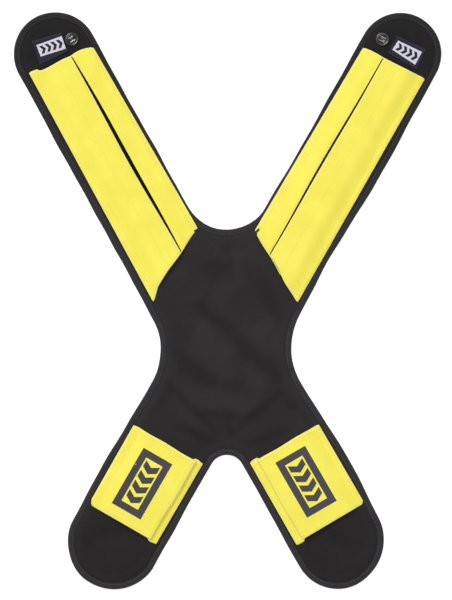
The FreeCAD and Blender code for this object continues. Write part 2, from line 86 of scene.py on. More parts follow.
def softNoise(a, b, seed, size):
    # a few crossed sines with fixed random headings: smooth, and the same each run
    chance = np.random.default_rng(seed)
    total = 0
    for _ in range(6):
        heading = chance.uniform(0, 2 * math.pi)
        pitch = size * chance.uniform(0.7, 1.7)
        phase = chance.uniform(0, 2 * math.pi)
        along = a * math.cos(heading) + b * math.sin(heading)
        total = total + np.sin(along * 2 * math.pi / pitch + phase)
    return total / 3.5


# materials

class Nodes:
    # short way to add shader nodes and join them
    def __init__(self, name):
        self.material = bpy.data.materials.new(name)
        self.material.use_nodes = True
        self.tree = self.material.node_tree
        self.shader = self.tree.nodes["Principled BSDF"]

    def add(self, kind, inputs=(), **settings):
        node = self.tree.nodes.new(kind)
        for key, value in settings.items():
            setattr(node, key, value)
        for socket, value in dict(inputs).items():
            target = node.inputs[socket]
            if isinstance(value, bpy.types.NodeSocket):
                self.tree.links.new(value, target)
            else:
                target.default_value = value
        return node

    def math(self, operation, a, b=0.0, c=0.0):
        node = self.add("ShaderNodeMath", {0: a, 1: b, 2: c}, operation=operation)
        return node.outputs[0]

    def place(self, source, scale=(1, 1, 1), turn=0.0):
        coordinate = self.add("ShaderNodeTexCoord")
        mapping = self.add("ShaderNodeMapping", {"Vector": coordinate.outputs[source], "Scale": scale,
                                                 "Rotation": (0, 0, turn)})
        return mapping.outputs[0]

    def noise(self, vector, scale, detail=3.0, roughness=0.55):
        node = self.add("ShaderNodeTexNoise", {"Vector": vector, "Scale": scale, "Detail": detail,
                                               "Roughness": roughness})
        return node.outputs["Fac"]

    def ramp(self, value, low, high, lowOut=0.0, highOut=1.0):
        node = self.add("ShaderNodeMapRange", {"Value": value, "From Min": low, "From Max": high,
                                               "To Min": lowOut, "To Max": highOut})
        return node.outputs[0]

    def mix(self, factor, first, second):
        node = self.add("ShaderNodeMix", data_type="RGBA")
        for socket, value in ((0, factor), (6, first), (7, second)):
            if isinstance(value, bpy.types.NodeSocket):
                self.tree.links.new(value, node.inputs[socket])
            else:
                node.inputs[socket].default_value = value
        return node.outputs[2]

    def set(self, **values):
        for key, value in values.items():
            socket = self.shader.inputs[key.replace("_", " ")]
            if isinstance(value, bpy.types.NodeSocket):
                self.tree.links.new(value, socket)
            else:
                socket.default_value = value

    def bump(self, height, distance, strength=1.0, below=None):
        inputs = {"Height": height, "Distance": distance, "Strength": strength}
        if below is not None:
            inputs["Normal"] = below
        return self.add("ShaderNodeBump", inputs).outputs[0]

    def weave(self, vector, pitch):
        # plain weave: warp and weft threads cross over and under by turns
        parts = self.add("ShaderNodeSeparateXYZ", {0: vector})
        across = self.math("MULTIPLY", parts.outputs[0], math.pi / pitch)
        along = self.math("MULTIPLY", parts.outputs[1], math.pi / pitch)
        warp = self.math("ABSOLUTE", self.math("SINE", across))
        weft = self.math("ABSOLUTE", self.math("SINE", along))
        over = self.math("MULTIPLY", self.math("SINE", self.math("ADD", across, math.pi / 2)),
                         self.math("SINE", self.math("ADD", along, math.pi / 2)))
        side = self.math("GREATER_THAN", over, 0.0)
        warpOver = self.math("MULTIPLY", warp, side)
        weftOver = self.math("MULTIPLY", weft, self.math("SUBTRACT", 1.0, side))
        return self.math("ADD", warpOver, weftOver)


def colour(r, g, b):
    return (r, g, b, 1.0)


def shaded(base, share):
    # a colour made lighter or darker, never over full white
    return colour(*[min(1.0, part * share) for part in base])


# upperTips, lowerTips and creaseShade set painted shade: darker arm tips and darker creases
faceClothLook = dict(base=(0.0185, 0.0160, 0.0168), lint=(0.050, 0.047, 0.049), threadPitch=0.0007,
                     sheen=0.22, upperTips=0.50, lowerTips=0.66, creaseShade=0.62)
liningLook = dict(base=(0.018, 0.018, 0.020), hole=(0.004, 0.004, 0.004), holePitch=0.0032)
# upperTips is painted shade that darkens the tape towards the upper tips
bindingLook = dict(base=(0.0125, 0.0112, 0.0135), rib=0.0009, sheen=0.20, upperTips=0.45)
# fold is the colour of a painted highlight along the folded edges
sleeveLook = dict(base=(0.950, 0.850, 0.106), shade=(0.860, 0.765, 0.074), fold=(0.93, 0.88, 0.34),
                  speck=(0.52, 0.42, 0.06), threadPitch=0.00055, sheen=0.12)


def faceClothMaterial():
    look = faceClothLook
    m = Nodes("padFaceCloth")
    place = m.place("Object")
    weave = m.weave(place, look["threadPitch"])
    cloud = m.noise(place, 14.0, 4.0)
    fine = m.noise(place, 900.0, 2.0)
    fluff = m.ramp(m.noise(place, 260.0, 5.0, 0.7), 0.56, 0.80)
    shade = m.mix(m.ramp(cloud, 0.3, 0.7), shaded(look["base"], 0.82), shaded(look["base"], 1.2))
    dusty = m.mix(m.math("MULTIPLY", fluff, 0.35), shade, colour(*look["lint"]))
    thready = m.mix(m.math("MULTIPLY", weave, 0.35), dusty, shaded(look["base"], 1.5))
    # painted shade: darker towards the four tips and in the creases; painted light where the settled cloth
    # rises
    height = m.add("ShaderNodeSeparateXYZ", {0: place}).outputs[1]
    upper = m.ramp(height, 0.08, 0.27, 1.0, look["upperTips"])
    lower = m.ramp(height, -0.30, -0.12, look["lowerTips"], 1.0)
    crease = m.add("ShaderNodeAttribute", attribute_name="creaseShade").outputs["Fac"]
    dip = m.ramp(crease, -0.6, 1.4, 1.12, look["creaseShade"])
    shading = m.math("MULTIPLY", m.math("MULTIPLY", upper, lower), dip)
    paintedShadeCloth = m.add("ShaderNodeVectorMath", {0: thready, "Scale": shading}, operation="SCALE").outputs[0]
    m.set(Base_Color=paintedShadeCloth, Roughness=m.ramp(fine, 0.2, 0.8, 0.78, 0.95), Sheen_Weight=look["sheen"],
          Sheen_Roughness=0.45, Specular_IOR_Level=0.28)
    m.shader.inputs["Sheen Tint"].default_value = colour(0.55, 0.53, 0.58)
    relief = m.math("ADD", m.math("MULTIPLY", weave, 0.7), m.math("MULTIPLY", fine, 0.5))
    m.set(Normal=m.bump(relief, 0.00018, 0.7))
    return m.material


def liningMaterial():
    look = liningLook
    m = Nodes("padLining")
    place = m.place("Object")
    scale = 1 / look["holePitch"]
    cells = m.add("ShaderNodeTexVoronoi", {"Vector": place, "Scale": scale, "Randomness": 0.15},
                  feature="F1")
    hole = m.ramp(cells.outputs["Distance"], 0.22, 0.34, 1.0, 0.0)
    fine = m.noise(place, 1200.0, 2.0)
    base = m.mix(hole, colour(*look["base"]), colour(*look["hole"]))
    m.set(Base_Color=base, Roughness=0.9, Sheen_Weight=0.25, Sheen_Roughness=0.5, Specular_IOR_Level=0.25)
    relief = m.math("SUBTRACT", m.math("MULTIPLY", fine, 0.25), hole)
    m.set(Normal=m.bump(relief, 0.0005, 0.8))
    return m.material


def bindingMaterial():
    look = bindingLook
    m = Nodes("edgeTape")
    place = m.place("UV")
    parts = m.add("ShaderNodeSeparateXYZ", {0: place})

    def ridges(coordinate, pitch):
        return m.math("ABSOLUTE", m.math("SINE", m.math("MULTIPLY", coordinate, math.pi / pitch)))

    rib = ridges(parts.outputs[0], look["rib"])
    thread = ridges(parts.outputs[1], look["rib"] * 0.7)
    wear = m.noise(place, 60.0, 4.0)
    fine = m.noise(place, 1500.0, 2.0)
    base = m.mix(m.ramp(wear, 0.35, 0.7), shaded(look["base"], 0.85), shaded(look["base"], 1.35))
    base = m.mix(m.math("MULTIPLY", rib, 0.4), base, shaded(look["base"], 1.7))
    # painted shade: the tape is darker towards the upper tips
    height = m.add("ShaderNodeSeparateXYZ", {0: m.place("Object")}).outputs[1]
    tips = m.ramp(height, 0.06, 0.24, 1.0, look["upperTips"])
    base = m.add("ShaderNodeVectorMath", {0: base, "Scale": tips}, operation="SCALE").outputs[0]
    m.set(Base_Color=base, Roughness=m.ramp(fine, 0.2, 0.8, 0.6, 0.8), Sheen_Weight=look["sheen"],
          Sheen_Roughness=0.4, Specular_IOR_Level=0.4)
    m.shader.inputs["Sheen Tint"].default_value = colour(0.62, 0.58, 0.66)
    relief = m.math("ADD", m.math("MULTIPLY", rib, 0.8), m.math("MULTIPLY", thread, 0.4))
    m.set(Normal=m.bump(relief, 0.0002, 0.8))
    return m.material


def sleeveMaterial(name, look, fuzz=0.0):
    m = Nodes(name)
    place = m.place("UV")
    weave = m.weave(place, look["threadPitch"])
    cloud = m.noise(place, 22.0, 4.0)
    slub = m.noise(m.place("UV", (60, 900, 1)), 1.0, 2.0)
    speck = m.ramp(m.noise(place, 420.0, 4.0, 0.8), 0.70, 0.82)
    base = m.mix(m.ramp(cloud, 0.35, 0.70, 0.0, 0.85), colour(*look["base"]), colour(*look["shade"]))
    base = m.mix(m.ramp(slub, 0.45, 0.8, 0.0, 0.22), base, colour(*look["shade"]))
    base = m.mix(m.math("MULTIPLY", speck, 0.30), base, colour(*look["speck"]))
    # painted highlight: the folded edges are mixed towards a whitish yellow, made uneven by noise
    edge = m.add("ShaderNodeAttribute", attribute_name="foldShare").outputs["Fac"]
    atFolds = m.math("MULTIPLY", edge, m.ramp(m.noise(place, 70.0, 3.0), 0.25, 0.6, 0.45, 1.0))
    base = m.mix(atFolds, base, colour(*look["fold"]))
    m.set(Base_Color=base, Roughness=m.ramp(cloud, 0.3, 0.7, 0.55, 0.68), Sheen_Weight=look["sheen"],
          Sheen_Roughness=0.5, Specular_IOR_Level=0.35)
    pile = m.math("MULTIPLY", m.noise(place, 700.0 if fuzz else 120.0, 4.0), 0.5 + fuzz)
    relief = m.math("ADD", m.math("MULTIPLY", weave, 0.6), pile)
    m.set(Normal=m.bump(relief, 0.00016 + 0.0004 * fuzz, 0.7))
    return m.material


def plainMaterial(name, base, roughness, metallic=0.0, grain=1500.0, depth=0.00005, spread=0.15, sheen=0.0,
                  specular=0.5):
    m = Nodes(name)
    place = m.place("Object")
    fine = m.noise(place, grain, 3.0)
    cloud = m.noise(place, 90.0, 3.0)
    uneven = m.mix(cloud, shaded(base, 1 - spread), shaded(base, 1 + spread))
    rough = m.ramp(fine, 0.25, 0.75, roughness * 0.85, min(1.0, roughness * 1.15))
    m.set(Base_Color=uneven, Roughness=rough, Metallic=metallic, Specular_IOR_Level=specular,
          Sheen_Weight=sheen)
    m.set(Normal=m.bump(fine, depth, 0.6))
    return m.material


def wovenMaterial(name, base, pitch=0.0005, sheen=0.2):
    m = Nodes(name)
    place = m.place("UV")
    weave = m.weave(place, pitch)
    fine = m.noise(place, 800.0, 3.0)
    woven = m.mix(m.math("MULTIPLY", weave, 0.5), shaded(base, 0.75), shaded(base, 1.15))
    m.set(Base_Color=woven, Roughness=m.ramp(fine, 0.2, 0.8, 0.5, 0.7), Sheen_Weight=sheen,
          Specular_IOR_Level=0.4)
    m.set(Normal=m.bump(weave, 0.00015, 0.8))
    return m.material


materials = {
    "faceCloth": faceClothMaterial(),
    "lining": liningMaterial(),
    "binding": bindingMaterial(),
    "sleeve": sleeveMaterial("sleeveCloth", sleeveLook),
    "loop": sleeveMaterial("loopTape", dict(sleeveLook, threadPitch=0.0011), fuzz=0.8),
    # the hook tape's black is made darker than the black face cloth: its own colour plus painted shade of
    # the slit where it shows
    "hook": plainMaterial("hookTape", (0.003, 0.003, 0.003), 0.8, grain=900.0, depth=0.0002, specular=0.10),
    "blackThread": plainMaterial("blackThread", (0.035, 0.033, 0.036), 0.6, grain=3000.0, depth=0.00008,
                                 sheen=0.3),
    "yellowThread": plainMaterial("yellowThread", (0.80, 0.66, 0.09), 0.55, grain=3000.0, depth=0.00008,
                                  sheen=0.3),
    "labelNavy": wovenMaterial("labelNavy", (0.0085, 0.0070, 0.034), sheen=0.06),
    "labelWhite": wovenMaterial("labelWhite", (0.78, 0.77, 0.84)),
    "ink": plainMaterial("printInk", (0.024, 0.019, 0.030), 0.5, grain=600.0, depth=0.00006, spread=0.25),
    "snapBlack": plainMaterial("snapBlack", (0.016, 0.015, 0.015), 0.24, specular=0.7, grain=400.0,
                               depth=0.00002),
    "wire": plainMaterial("springWire", (0.74, 0.72, 0.70), 0.42, metallic=1.0, grain=900.0, depth=0.00001),
}
report("materials ready")

# the pad's pattern

padPattern = dict(upperWidth=0.092, lowerWidth=0.102, upperLean=29.5, lowerLean=30.0,
                  neckRadius=0.048, waistRadius=0.0715, crotchRadius=0.019)
padBuild = dict(cell=0.0025, coverInset=0.0042, shoulder=0.0085, rimLow=0.0029, rimHigh=0.0049,
                top=0.00775, bottom=0.0, tapeWidth=0.0068, foldZone=0.009,
                pucker=0.00022, puckerPitch=0.0095, slack=0.00028, slackSize=0.055)


def armFrames():
    arms = {}
    for hand, sign in (("left", -1), ("right", 1)):
        for level in ("upper", "lower"):
            low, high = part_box(f"{hand}_{level}_edge_binding")
            radius = padPattern[f"{level}Width"] / 2
            lean = math.radians(padPattern[f"{level}Lean"])
            x = high[0] - radius if sign > 0 else low[0] + radius
            y = high[1] - radius if level == "upper" else low[1] + radius
            up = 1 if level == "upper" else -1
            along = np.array([-sign * math.sin(lean), -up * math.cos(lean)])
            inner = np.array([-sign * math.cos(lean), up * math.sin(lean)])
            arms[f"{hand}_{level}"] = dict(tip=np.array([x, y]), along=along, inner=inner, radius=radius,
                                           sign=sign)
    return arms


arms = armFrames()


def onArm(arm, v, s, z):
    # v is the distance from the arm's centre line towards its inner side, s the distance from its tip centre
    a = arms[arm]
    v, s, z = np.broadcast_arrays(np.asarray(v, float), np.asarray(s, float), np.asarray(z, float))
    xy = a["tip"] + v[..., None] * a["inner"] + s[..., None] * a["along"]
    return np.concatenate([xy, z[..., None]], axis=-1)


def outlineRuns():
    # the outline's right half as lines and arcs, from the neck round to the crotch
    up, low = arms["right_upper"], arms["right_lower"]
    upInner = up["tip"] + up["inner"] * up["radius"]
    upOuter = up["tip"] - up["inner"] * up["radius"]
    lowInner = low["tip"] + low["inner"] * low["radius"]
    lowOuter = low["tip"] - low["inner"] * low["radius"]
    neck, waist, crotch = padPattern["neckRadius"], padPattern["waistRadius"], padPattern["crotchRadius"]
    neckY = upInner[1] + (neck + upInner[0] * up["inner"][0]) / up["inner"][1]
    crotchY = lowInner[1] + (crotch + lowInner[0] * low["inner"][0]) / low["inner"][1]
    neckCentre, crotchCentre = np.array([0, neckY]), np.array([0, crotchY])
    facing = np.array([up["inner"], low["inner"]])
    standoff = np.array([upOuter @ up["inner"] - waist, lowOuter @ low["inner"] - waist])
    waistCentre = np.linalg.solve(facing, standoff)
    return [
        ("arc", neckCentre, neckCentre + [0, -neck], neckCentre - up["inner"] * neck),
        ("line", neckCentre - up["inner"] * neck, upInner),
        ("arc", up["tip"], upInner, upOuter),
        ("line", upOuter, waistCentre + up["inner"] * waist),
        ("arc", waistCentre, waistCentre + up["inner"] * waist, waistCentre + low["inner"] * waist),
        ("line", waistCentre + low["inner"] * waist, lowOuter),
        ("arc", low["tip"], lowOuter, lowInner),
        ("line", lowInner, crotchCentre - low["inner"] * crotch),
        ("arc", crotchCentre, crotchCentre - low["inner"] * crotch, crotchCentre + [0, crotch]),
    ]


def walkOutline(step):
    # points and inward normals down the right half, evenly spaced on each run
    points, normals = [], []
    for run in outlineRuns():
        if run[0] == "line":
            start, end = run[1], run[2]
            count = max(2, int(np.linalg.norm(end - start) / step))
            heading = (end - start) / np.linalg.norm(end - start)
            inward = np.array([heading[1], -heading[0]])
            for k in range(count):
                points.append(start + (end - start) * k / count)
                normals.append(inward)
        else:
            centre, start, end = run[1], run[2], run[3]
            radius = np.linalg.norm(start - centre)
            first = math.atan2(*(start - centre)[::-1])
            turn = math.atan2(*(end - centre)[::-1]) - first
            turn = (turn + math.pi) % (2 * math.pi) - math.pi
            isTip = any(np.allclose(centre, a["tip"]) for a in arms.values())
            if isTip:
                turn = -math.pi
            count = max(4, int(radius * abs(turn) / step))
            for k in range(count):
                angle = first + turn * k / count
                out = np.array([math.cos(angle), math.sin(angle)])
                points.append(centre + radius * out)
                normals.append(-out if isTip else out)
    last = outlineRuns()[-1]
    points.append(last[3])
    normals.append(np.array([0.0, 1.0]))
    return np.array(points), np.array(normals)


def nearestOnOutline(points):
    # distance to the outline, and the nearest point on it, for points in the right half
    best = np.full(len(points), 1e9)
    nearest = np.zeros_like(points)
    for run in outlineRuns():
        if run[0] == "line":
            start, end = run[1], run[2]
            t = np.clip(((points - start) @ (end - start)) / ((end - start) @ (end - start)), 0, 1)
            spot = start + t[:, None] * (end - start)
        else:
            centre, start, end = run[1], run[2], run[3]
            away = points - centre
            far = np.linalg.norm(away, axis=1)
            out = away / np.maximum(far, 1e-9)[:, None]
            radius = np.linalg.norm(start - centre)
            middle = start + end - 2 * centre
            isTip = any(np.allclose(centre, a["tip"]) for a in arms.values())
            if isTip:
                arm = next(a for a in arms.values() if np.allclose(centre, a["tip"]))
                inside = out @ (-arm["along"]) >= 0
            else:
                half = np.linalg.norm(middle)
                inside = out @ (middle / half) >= (start - centre) @ (middle / half) / radius - 1e-9
                if abs(centre[0]) < 1e-9:  # neck and crotch arcs run on past the middle line
                    mirror = start if abs(start[0]) > abs(end[0]) else end
                    down = np.array([0, np.sign(mirror[1] - centre[1])])
                    inside = out @ down >= (mirror - centre) @ down / radius - 1e-9
            spot = np.where(inside[:, None], centre + radius * out, np.array([9.0, 9.0]))
        gap = np.linalg.norm(points - spot, axis=1)
        closer = gap < best
        best = np.where(closer, gap, best)
        nearest = np.where(closer[:, None], spot, nearest)
    return best, nearest


def insidePolygon(points, polygon):
    x, y = points[:, 0], points[:, 1]
    inside = np.zeros(len(points), bool)
    x1, y1 = polygon[:, 0], polygon[:, 1]
    x2, y2 = np.roll(x1, -1), np.roll(y1, -1)
    for k in range(len(polygon)):
        if y1[k] == y2[k]:
            continue
        crosses = (y1[k] > y) != (y2[k] > y)
        inside ^= crosses & (x < (x2[k] - x1[k]) * (y - y1[k]) / (y2[k] - y1[k]) + x1[k])
    return inside


# how the soft pad lies: each pull moves the cloth about one spot, so that its edge is a little out of true
pullReach = 0.070
pulls = [
    # spot, pull
    ((0.000, 0.075), (0.0000, 0.0035)),  # neck, up
    ((-0.190, 0.270), (0.0045, 0.0015)),  # left upper arm, in
    ((-0.110, 0.170), (0.0020, 0.0010)),
    ((0.210, 0.250), (-0.0020, 0.0010)),  # right upper arm, in
    ((0.115, 0.040), (-0.0040, 0.0010)),  # right side of the back, in
    ((-0.075, -0.045), (-0.0020, 0.0000)),  # left waist, out
    ((-0.110, -0.190), (-0.0032, 0.0015)),  # lower arms, out
    ((0.130, -0.180), (0.0035, 0.0018)),
    ((0.165, -0.290), (-0.0035, 0.0010)),  # right lower tip, in
    ((0.000, -0.172), (0.0000, 0.0030)),  # crotch, up
]


def laid(x, y):
    a, b = x, y
    for (px, py), (dx, dy) in pulls:
        share = np.exp(-((x - px) ** 2 + (y - py) ** 2) / pullReach ** 2)
        a, b = a + share * dx, b + share * dy
    return a, b


def unlaid(x, y):
    # the spot of the flat pattern that lies at x, y
    a, b = x, y
    for _ in range(3):
        there = laid(a, b)
        a, b = a + x - there[0], b + y - there[1]
    return a, b


# cloth surfaces

waistY = -0.075  # where the covers are divided between the upper and lower quarters
creases = [
    # start, end, width, depth: soft folds that fan out from the crotch, and slack bands across the back
    ((0.006, -0.146), (0.058, -0.101), 0.0045, 0.00142),
    ((0.004, -0.152), (0.000, -0.118), 0.0045, 0.00081),
    ((-0.008, -0.158), (-0.050, -0.140), 0.0050, 0.00122),
    ((-0.010, -0.146), (-0.062, -0.094), 0.0050, 0.00095),
    ((0.016, -0.160), (0.066, -0.144), 0.0050, 0.00108),
    ((-0.030, -0.124), (0.036, -0.128), 0.0055, 0.00081),
    ((-0.026, -0.008), (0.054, -0.082), 0.0110, 0.00162),
    ((-0.056, -0.060), (-0.020, -0.088), 0.0100, 0.00122),
    ((-0.010, -0.090), (0.030, -0.100), 0.0110, 0.00081),
    ((-0.036, 0.040), (0.020, 0.034), 0.0120, 0.00074),
    ((0.040, 0.020), (0.062, -0.030), 0.0100, 0.00081),
    ((-0.062, -0.100), (-0.082, -0.122), 0.0050, 0.00081),
    ((0.060, -0.104), (0.086, -0.128), 0.0060, 0.00081),
    ((0.000, 0.070), (0.004, 0.050), 0.0080, 0.00061),
    ((-0.118, -0.246), (-0.150, -0.262), 0.0090, 0.00068),
    ((0.108, -0.250), (0.140, -0.272), 0.0090, 0.00068),
    ((-0.190, 0.290), (-0.222, 0.262), 0.0080, 0.00061),
    ((0.186, 0.296), (0.216, 0.270), 0.0080, 0.00061),
]


def creaseDepth(x, y):
    total = np.zeros_like(x)
    for (x1, y1), (x2, y2), width, depth in creases:
        dx, dy = x2 - x1, y2 - y1
        t = np.clip(((x - x1) * dx + (y - y1) * dy) / (dx * dx + dy * dy), 0, 1)
        gap = np.hypot(x - x1 - t * dx, y - y1 - t * dy)
        along = 0.35 + 0.65 * np.sin(math.pi * np.clip(t, 0.12, 0.88))
        total = total + depth * np.exp(-(gap / width) ** 2) * along
    return total


def slackCloth(name, vertices, faces, held, slack, limit, frames=20):
    # cloth cut a little too large is let loose between its sewn edges
    # returns how far each point rises or sinks
    mesh = bpy.data.meshes.new(name)
    mesh.from_pydata([tuple(v) for v in vertices], [], [tuple(f) for f in faces])
    piece = bpy.data.objects.new(name, mesh)
    bpy.context.scene.collection.objects.link(piece)
    group = piece.vertex_groups.new(name="sewn")
    for level in (1.0, 0.5, 0.08):
        chosen = np.nonzero((held <= level + 1e-6) & (held > level * 0.45))[0]
        group.add([int(k) for k in chosen], level, "REPLACE")
    cloth = piece.modifiers.new("cloth", "CLOTH")
    cloth.settings.quality = 6
    cloth.settings.mass = 0.1
    cloth.settings.tension_stiffness = 25
    cloth.settings.compression_stiffness = 25
    cloth.settings.shear_stiffness = 12
    cloth.settings.bending_stiffness = 0.25
    cloth.settings.shrink_min = -slack
    cloth.settings.shrink_max = -slack
    cloth.settings.effector_weights.gravity = 0
    cloth.settings.vertex_group_mass = "sewn"
    cloth.settings.pin_stiffness = 1.0
    cloth.point_cache.frame_start = 1
    cloth.point_cache.frame_end = frames
    scene = bpy.context.scene
    for step in range(1, frames + 1):
        scene.frame_set(step)
    moved = piece.evaluated_get(bpy.context.evaluated_depsgraph_get()).data
    after = np.empty(len(moved.vertices) * 3)
    moved.vertices.foreach_get("co", after)
    rise = after.reshape(-1, 3)[:, 2] - np.asarray(vertices)[:, 2]
    scene.frame_set(1)
    bpy.data.objects.remove(piece)
    return limit * np.tanh(rise / limit)


settled = dict(cell=0.005, values=None)


def settledAt(x, y):
    # height of the loose face cloth over the smooth pad, read from the settled grid
    if settled["values"] is None:
        return 0 * x
    x, y = unlaid(x, y)
    cell, values = settled["cell"], settled["values"]
    i = np.clip((x + settled["left"]) / cell, 0, values.shape[0] - 1.001)
    j = np.clip((y + settled["low"]) / cell, 0, values.shape[1] - 1.001)
    i0, j0 = i.astype(int), j.astype(int)
    a, b = i - i0, j - j0
    return (values[i0, j0] * (1 - a) * (1 - b) + values[i0 + 1, j0] * a * (1 - b)
            + values[i0, j0 + 1] * (1 - a) * b + values[i0 + 1, j0 + 1] * a * b)


def padTop(x, y, d):
    b = padBuild
    t = np.clip((d - b["tapeWidth"] + 0.001) / b["shoulder"], 0, 1)
    rise = 1 - (1 - t) ** 2.4
    wave = np.sin((x * 0.8 + y) * 2 * math.pi / b["puckerPitch"])
    pucker = b["pucker"] * wave * np.exp(-((d - 0.010) / 0.005) ** 2)
    slack = b["slack"] * (1 + softNoise(x, y, 3, b["slackSize"])) * ease((d - 0.014) / 0.02)
    atFolds = creaseDepth(x, y) * ease((d - 0.008) / 0.012)
    return b["rimHigh"] + (b["top"] - b["rimHigh"]) * rise - slack - atFolds + pucker * rise + settledAt(x, y)


def padBottom(d):
    b = padBuild
    t = np.clip((d - b["tapeWidth"] + 0.001) / b["shoulder"], 0, 1)
    fall = 1 - (1 - t) ** 2.4
    return b["rimLow"] * (1 - fall) + b["bottom"]


def meshObject(name, vertices, faces, material, uvs=None, smooth=True):
    mesh = bpy.data.meshes.new(name)
    mesh.from_pydata([tuple(v) for v in vertices], [], [tuple(f) for f in faces])
    mesh.materials.append(material)
    if uvs is not None:
        layer = mesh.uv_layers.new(name="UVMap")
        index = np.empty(len(mesh.loops), np.int32)
        mesh.loops.foreach_get("vertex_index", index)
        layer.data.foreach_set("uv", np.asarray(uvs, np.float32)[index].ravel())
    if smooth:
        mesh.polygons.foreach_set("use_smooth", [True] * len(mesh.polygons))
    mesh.update()
    piece = bpy.data.objects.new(name, mesh)
    bpy.context.scene.collection.objects.link(piece)
    return piece


def faceOutwards(piece):
    work = bmesh.new()
    work.from_mesh(piece.data)
    bmesh.ops.recalc_face_normals(work, faces=work.faces)
    work.to_mesh(piece.data)
    work.free()
    return piece


def makeCovers(cell):
    b = padBuild
    low, high = cadBox
    yTop = math.ceil((high[1] - waistY) / cell)
    yLow = math.ceil((waistY - low[1]) / cell)
    columns = math.ceil(high[0] / cell) + 1
    xs = np.arange(columns) * cell
    ys = waistY + np.arange(-yLow, yTop + 1) * cell
    gx, gy = np.meshgrid(xs, ys, indexing="ij")
    flat = np.stack([gx.ravel(), gy.ravel()], axis=1)
    half, _ = walkOutline(0.001)
    whole = np.concatenate([half, half[::-1] * [-1, 1]])
    inside = insidePolygon(flat + [1e-7, 0], whole)
    d, near = nearestOnOutline(flat)
    d = np.where(inside, d, -d)
    keep = d > b["coverInset"] * 0.55
    shape = gx.shape
    keepGrid = keep.reshape(shape)
    cellKeep = keepGrid[:-1, :-1] & keepGrid[1:, :-1] & keepGrid[:-1, 1:] & keepGrid[1:, 1:]
    used = np.zeros(shape, bool)
    for dx in (0, 1):
        for dy in (0, 1):
            used[dx:shape[0] - 1 + dx, dy:shape[1] - 1 + dy] |= cellKeep
    edge = used.copy()
    inner = np.zeros(shape, bool)
    inner[1:-1, 1:-1] = cellKeep[:-1, :-1] & cellKeep[1:, :-1] & cellKeep[:-1, 1:] & cellKeep[1:, 1:]
    inner[0, 1:-1] = cellKeep[0, :-1] & cellKeep[0, 1:]
    edge &= ~inner
    # the outermost points slide onto one line under the tape
    away = flat - near
    away /= np.maximum(np.linalg.norm(away, axis=1), 1e-9)[:, None]
    away = np.where((d > 0)[:, None], away, -away)
    slid = near + away * b["coverInset"]
    onMiddle = flat[:, 0] < 1e-9
    onWaist = np.abs(flat[:, 1] - waistY) < 1e-9
    move = edge.ravel() & (d < b["coverInset"] + cell * 1.2)
    slid[onMiddle, 0] = 0
    slid[onWaist, 1] = waistY
    flat = np.where(move[:, None], slid, flat)
    d = np.where(move, b["coverInset"], d)
    covers = {}
    for level, rows in (("upper", range(yLow, yLow + yTop)), ("lower", range(0, yLow))):
        ids = -np.ones(shape, int)
        order = []
        quads = []
        for i in range(shape[0] - 1):
            for j in rows:
                if not cellKeep[i, j]:
                    continue
                corner = []
                for a, c in ((i, j), (i + 1, j), (i + 1, j + 1), (i, j + 1)):
                    if ids[a, c] < 0:
                        ids[a, c] = len(order)
                        order.append(a * shape[1] + c)
                    corner.append(ids[a, c])
                quads.append(corner)
        order = np.array(order)
        quads = np.array(quads)
        edges = {}
        for q in quads:
            for k in range(4):
                key = (q[k], q[(k + 1) % 4])
                if (key[1], key[0]) in edges:
                    del edges[(key[1], key[0])]
                else:
                    edges[key] = True
        covers[level] = (flat[order], d[order], quads, list(edges))
    return covers


def sewnDown(xy):
    # 1 where a label, a snap or a sleeve holds the face cloth down, 0 where it is free
    upperZones = [(-0.026, 0.036, -0.026, 0.008), (-0.040, 0.046, 0.002, 0.285)]
    lowerZones = [(-0.048, 0.044, 0.022, 0.127)]
    held = np.zeros(len(xy))
    for name, arm in arms.items():
        rel = xy - arm["tip"]
        v, s = rel @ arm["inner"], rel @ arm["along"]
        for v0, v1, s0, s1 in upperZones if "upper" in name else lowerZones:
            inside = np.minimum(np.minimum(v - v0, v1 - v), np.minimum(s - s0, s1 - s))
            held = np.maximum(held, ease(inside / 0.010))
    return held


def settleFace():
    # the whole face is settled as one cloth, held all round under the tape and loosely by the foam
    cell = settled["cell"]
    points, faces, depth = [], [], []
    for sign in (1, -1):
        for xy, d, quads, _ in makeCovers(cell).values():
            first = len(points)
            points += [(x * sign, y) for x, y in xy]
            depth += list(d)
            faces += [[first + k for k in (q if sign > 0 else q[::-1])] for q in quads]
    xy, depth = np.array(points), np.array(depth)
    _, index, back = np.unique(np.round(xy, 6), axis=0, return_index=True, return_inverse=True)
    back = back.ravel()
    faces = [[int(back[k]) for k in f] for f in faces]
    xy, depth = xy[index], depth[index]
    lying = np.column_stack(laid(xy[:, 0], xy[:, 1]))
    z = padTop(lying[:, 0], lying[:, 1], depth)
    down = sewnDown(lying)
    loosely = np.where((depth < 0.013) | (down > 0.3), 0.5, 0.08)
    held = np.where((depth < 0.008) | (down > 0.9), 1.0, loosely)
    rise = slackCloth("face_settling", np.column_stack([lying, z]), faces, held,
                      faceSlack["slack"], faceSlack["limit"])
    low, high = cadBox
    left = math.ceil(high[0] / cell) * cell
    bottom = math.ceil((waistY - low[1]) / cell) * cell - waistY
    values = np.zeros((int(2 * left / cell) + 2, int((bottom + high[1]) / cell) + 3))
    i = np.rint((xy[:, 0] + left) / cell).astype(int)
    j = np.rint((xy[:, 1] + bottom) / cell).astype(int)
    values[i, j] = rise * ease((depth - 0.006) / 0.008) * (1 - down)
    settled.update(values=values, left=left, low=bottom)


faceSlack = dict(slack=0.012, limit=0.0007)
settleFace()
report("face cloth settled")
coverPlans = makeCovers(padBuild["cell"])
report("cover pattern cut")


def foldBlend(piece, arm):
    joint = joints[f"{arm}_fold"]
    pos = np.array(joint["pos_m"][:2])
    axis = np.array(joint["axis"][:2])
    square = np.array([-axis[1], axis[0]])
    if (arms[arm]["tip"] - pos) @ square < 0:
        square = -square
    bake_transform(piece)
    return piece


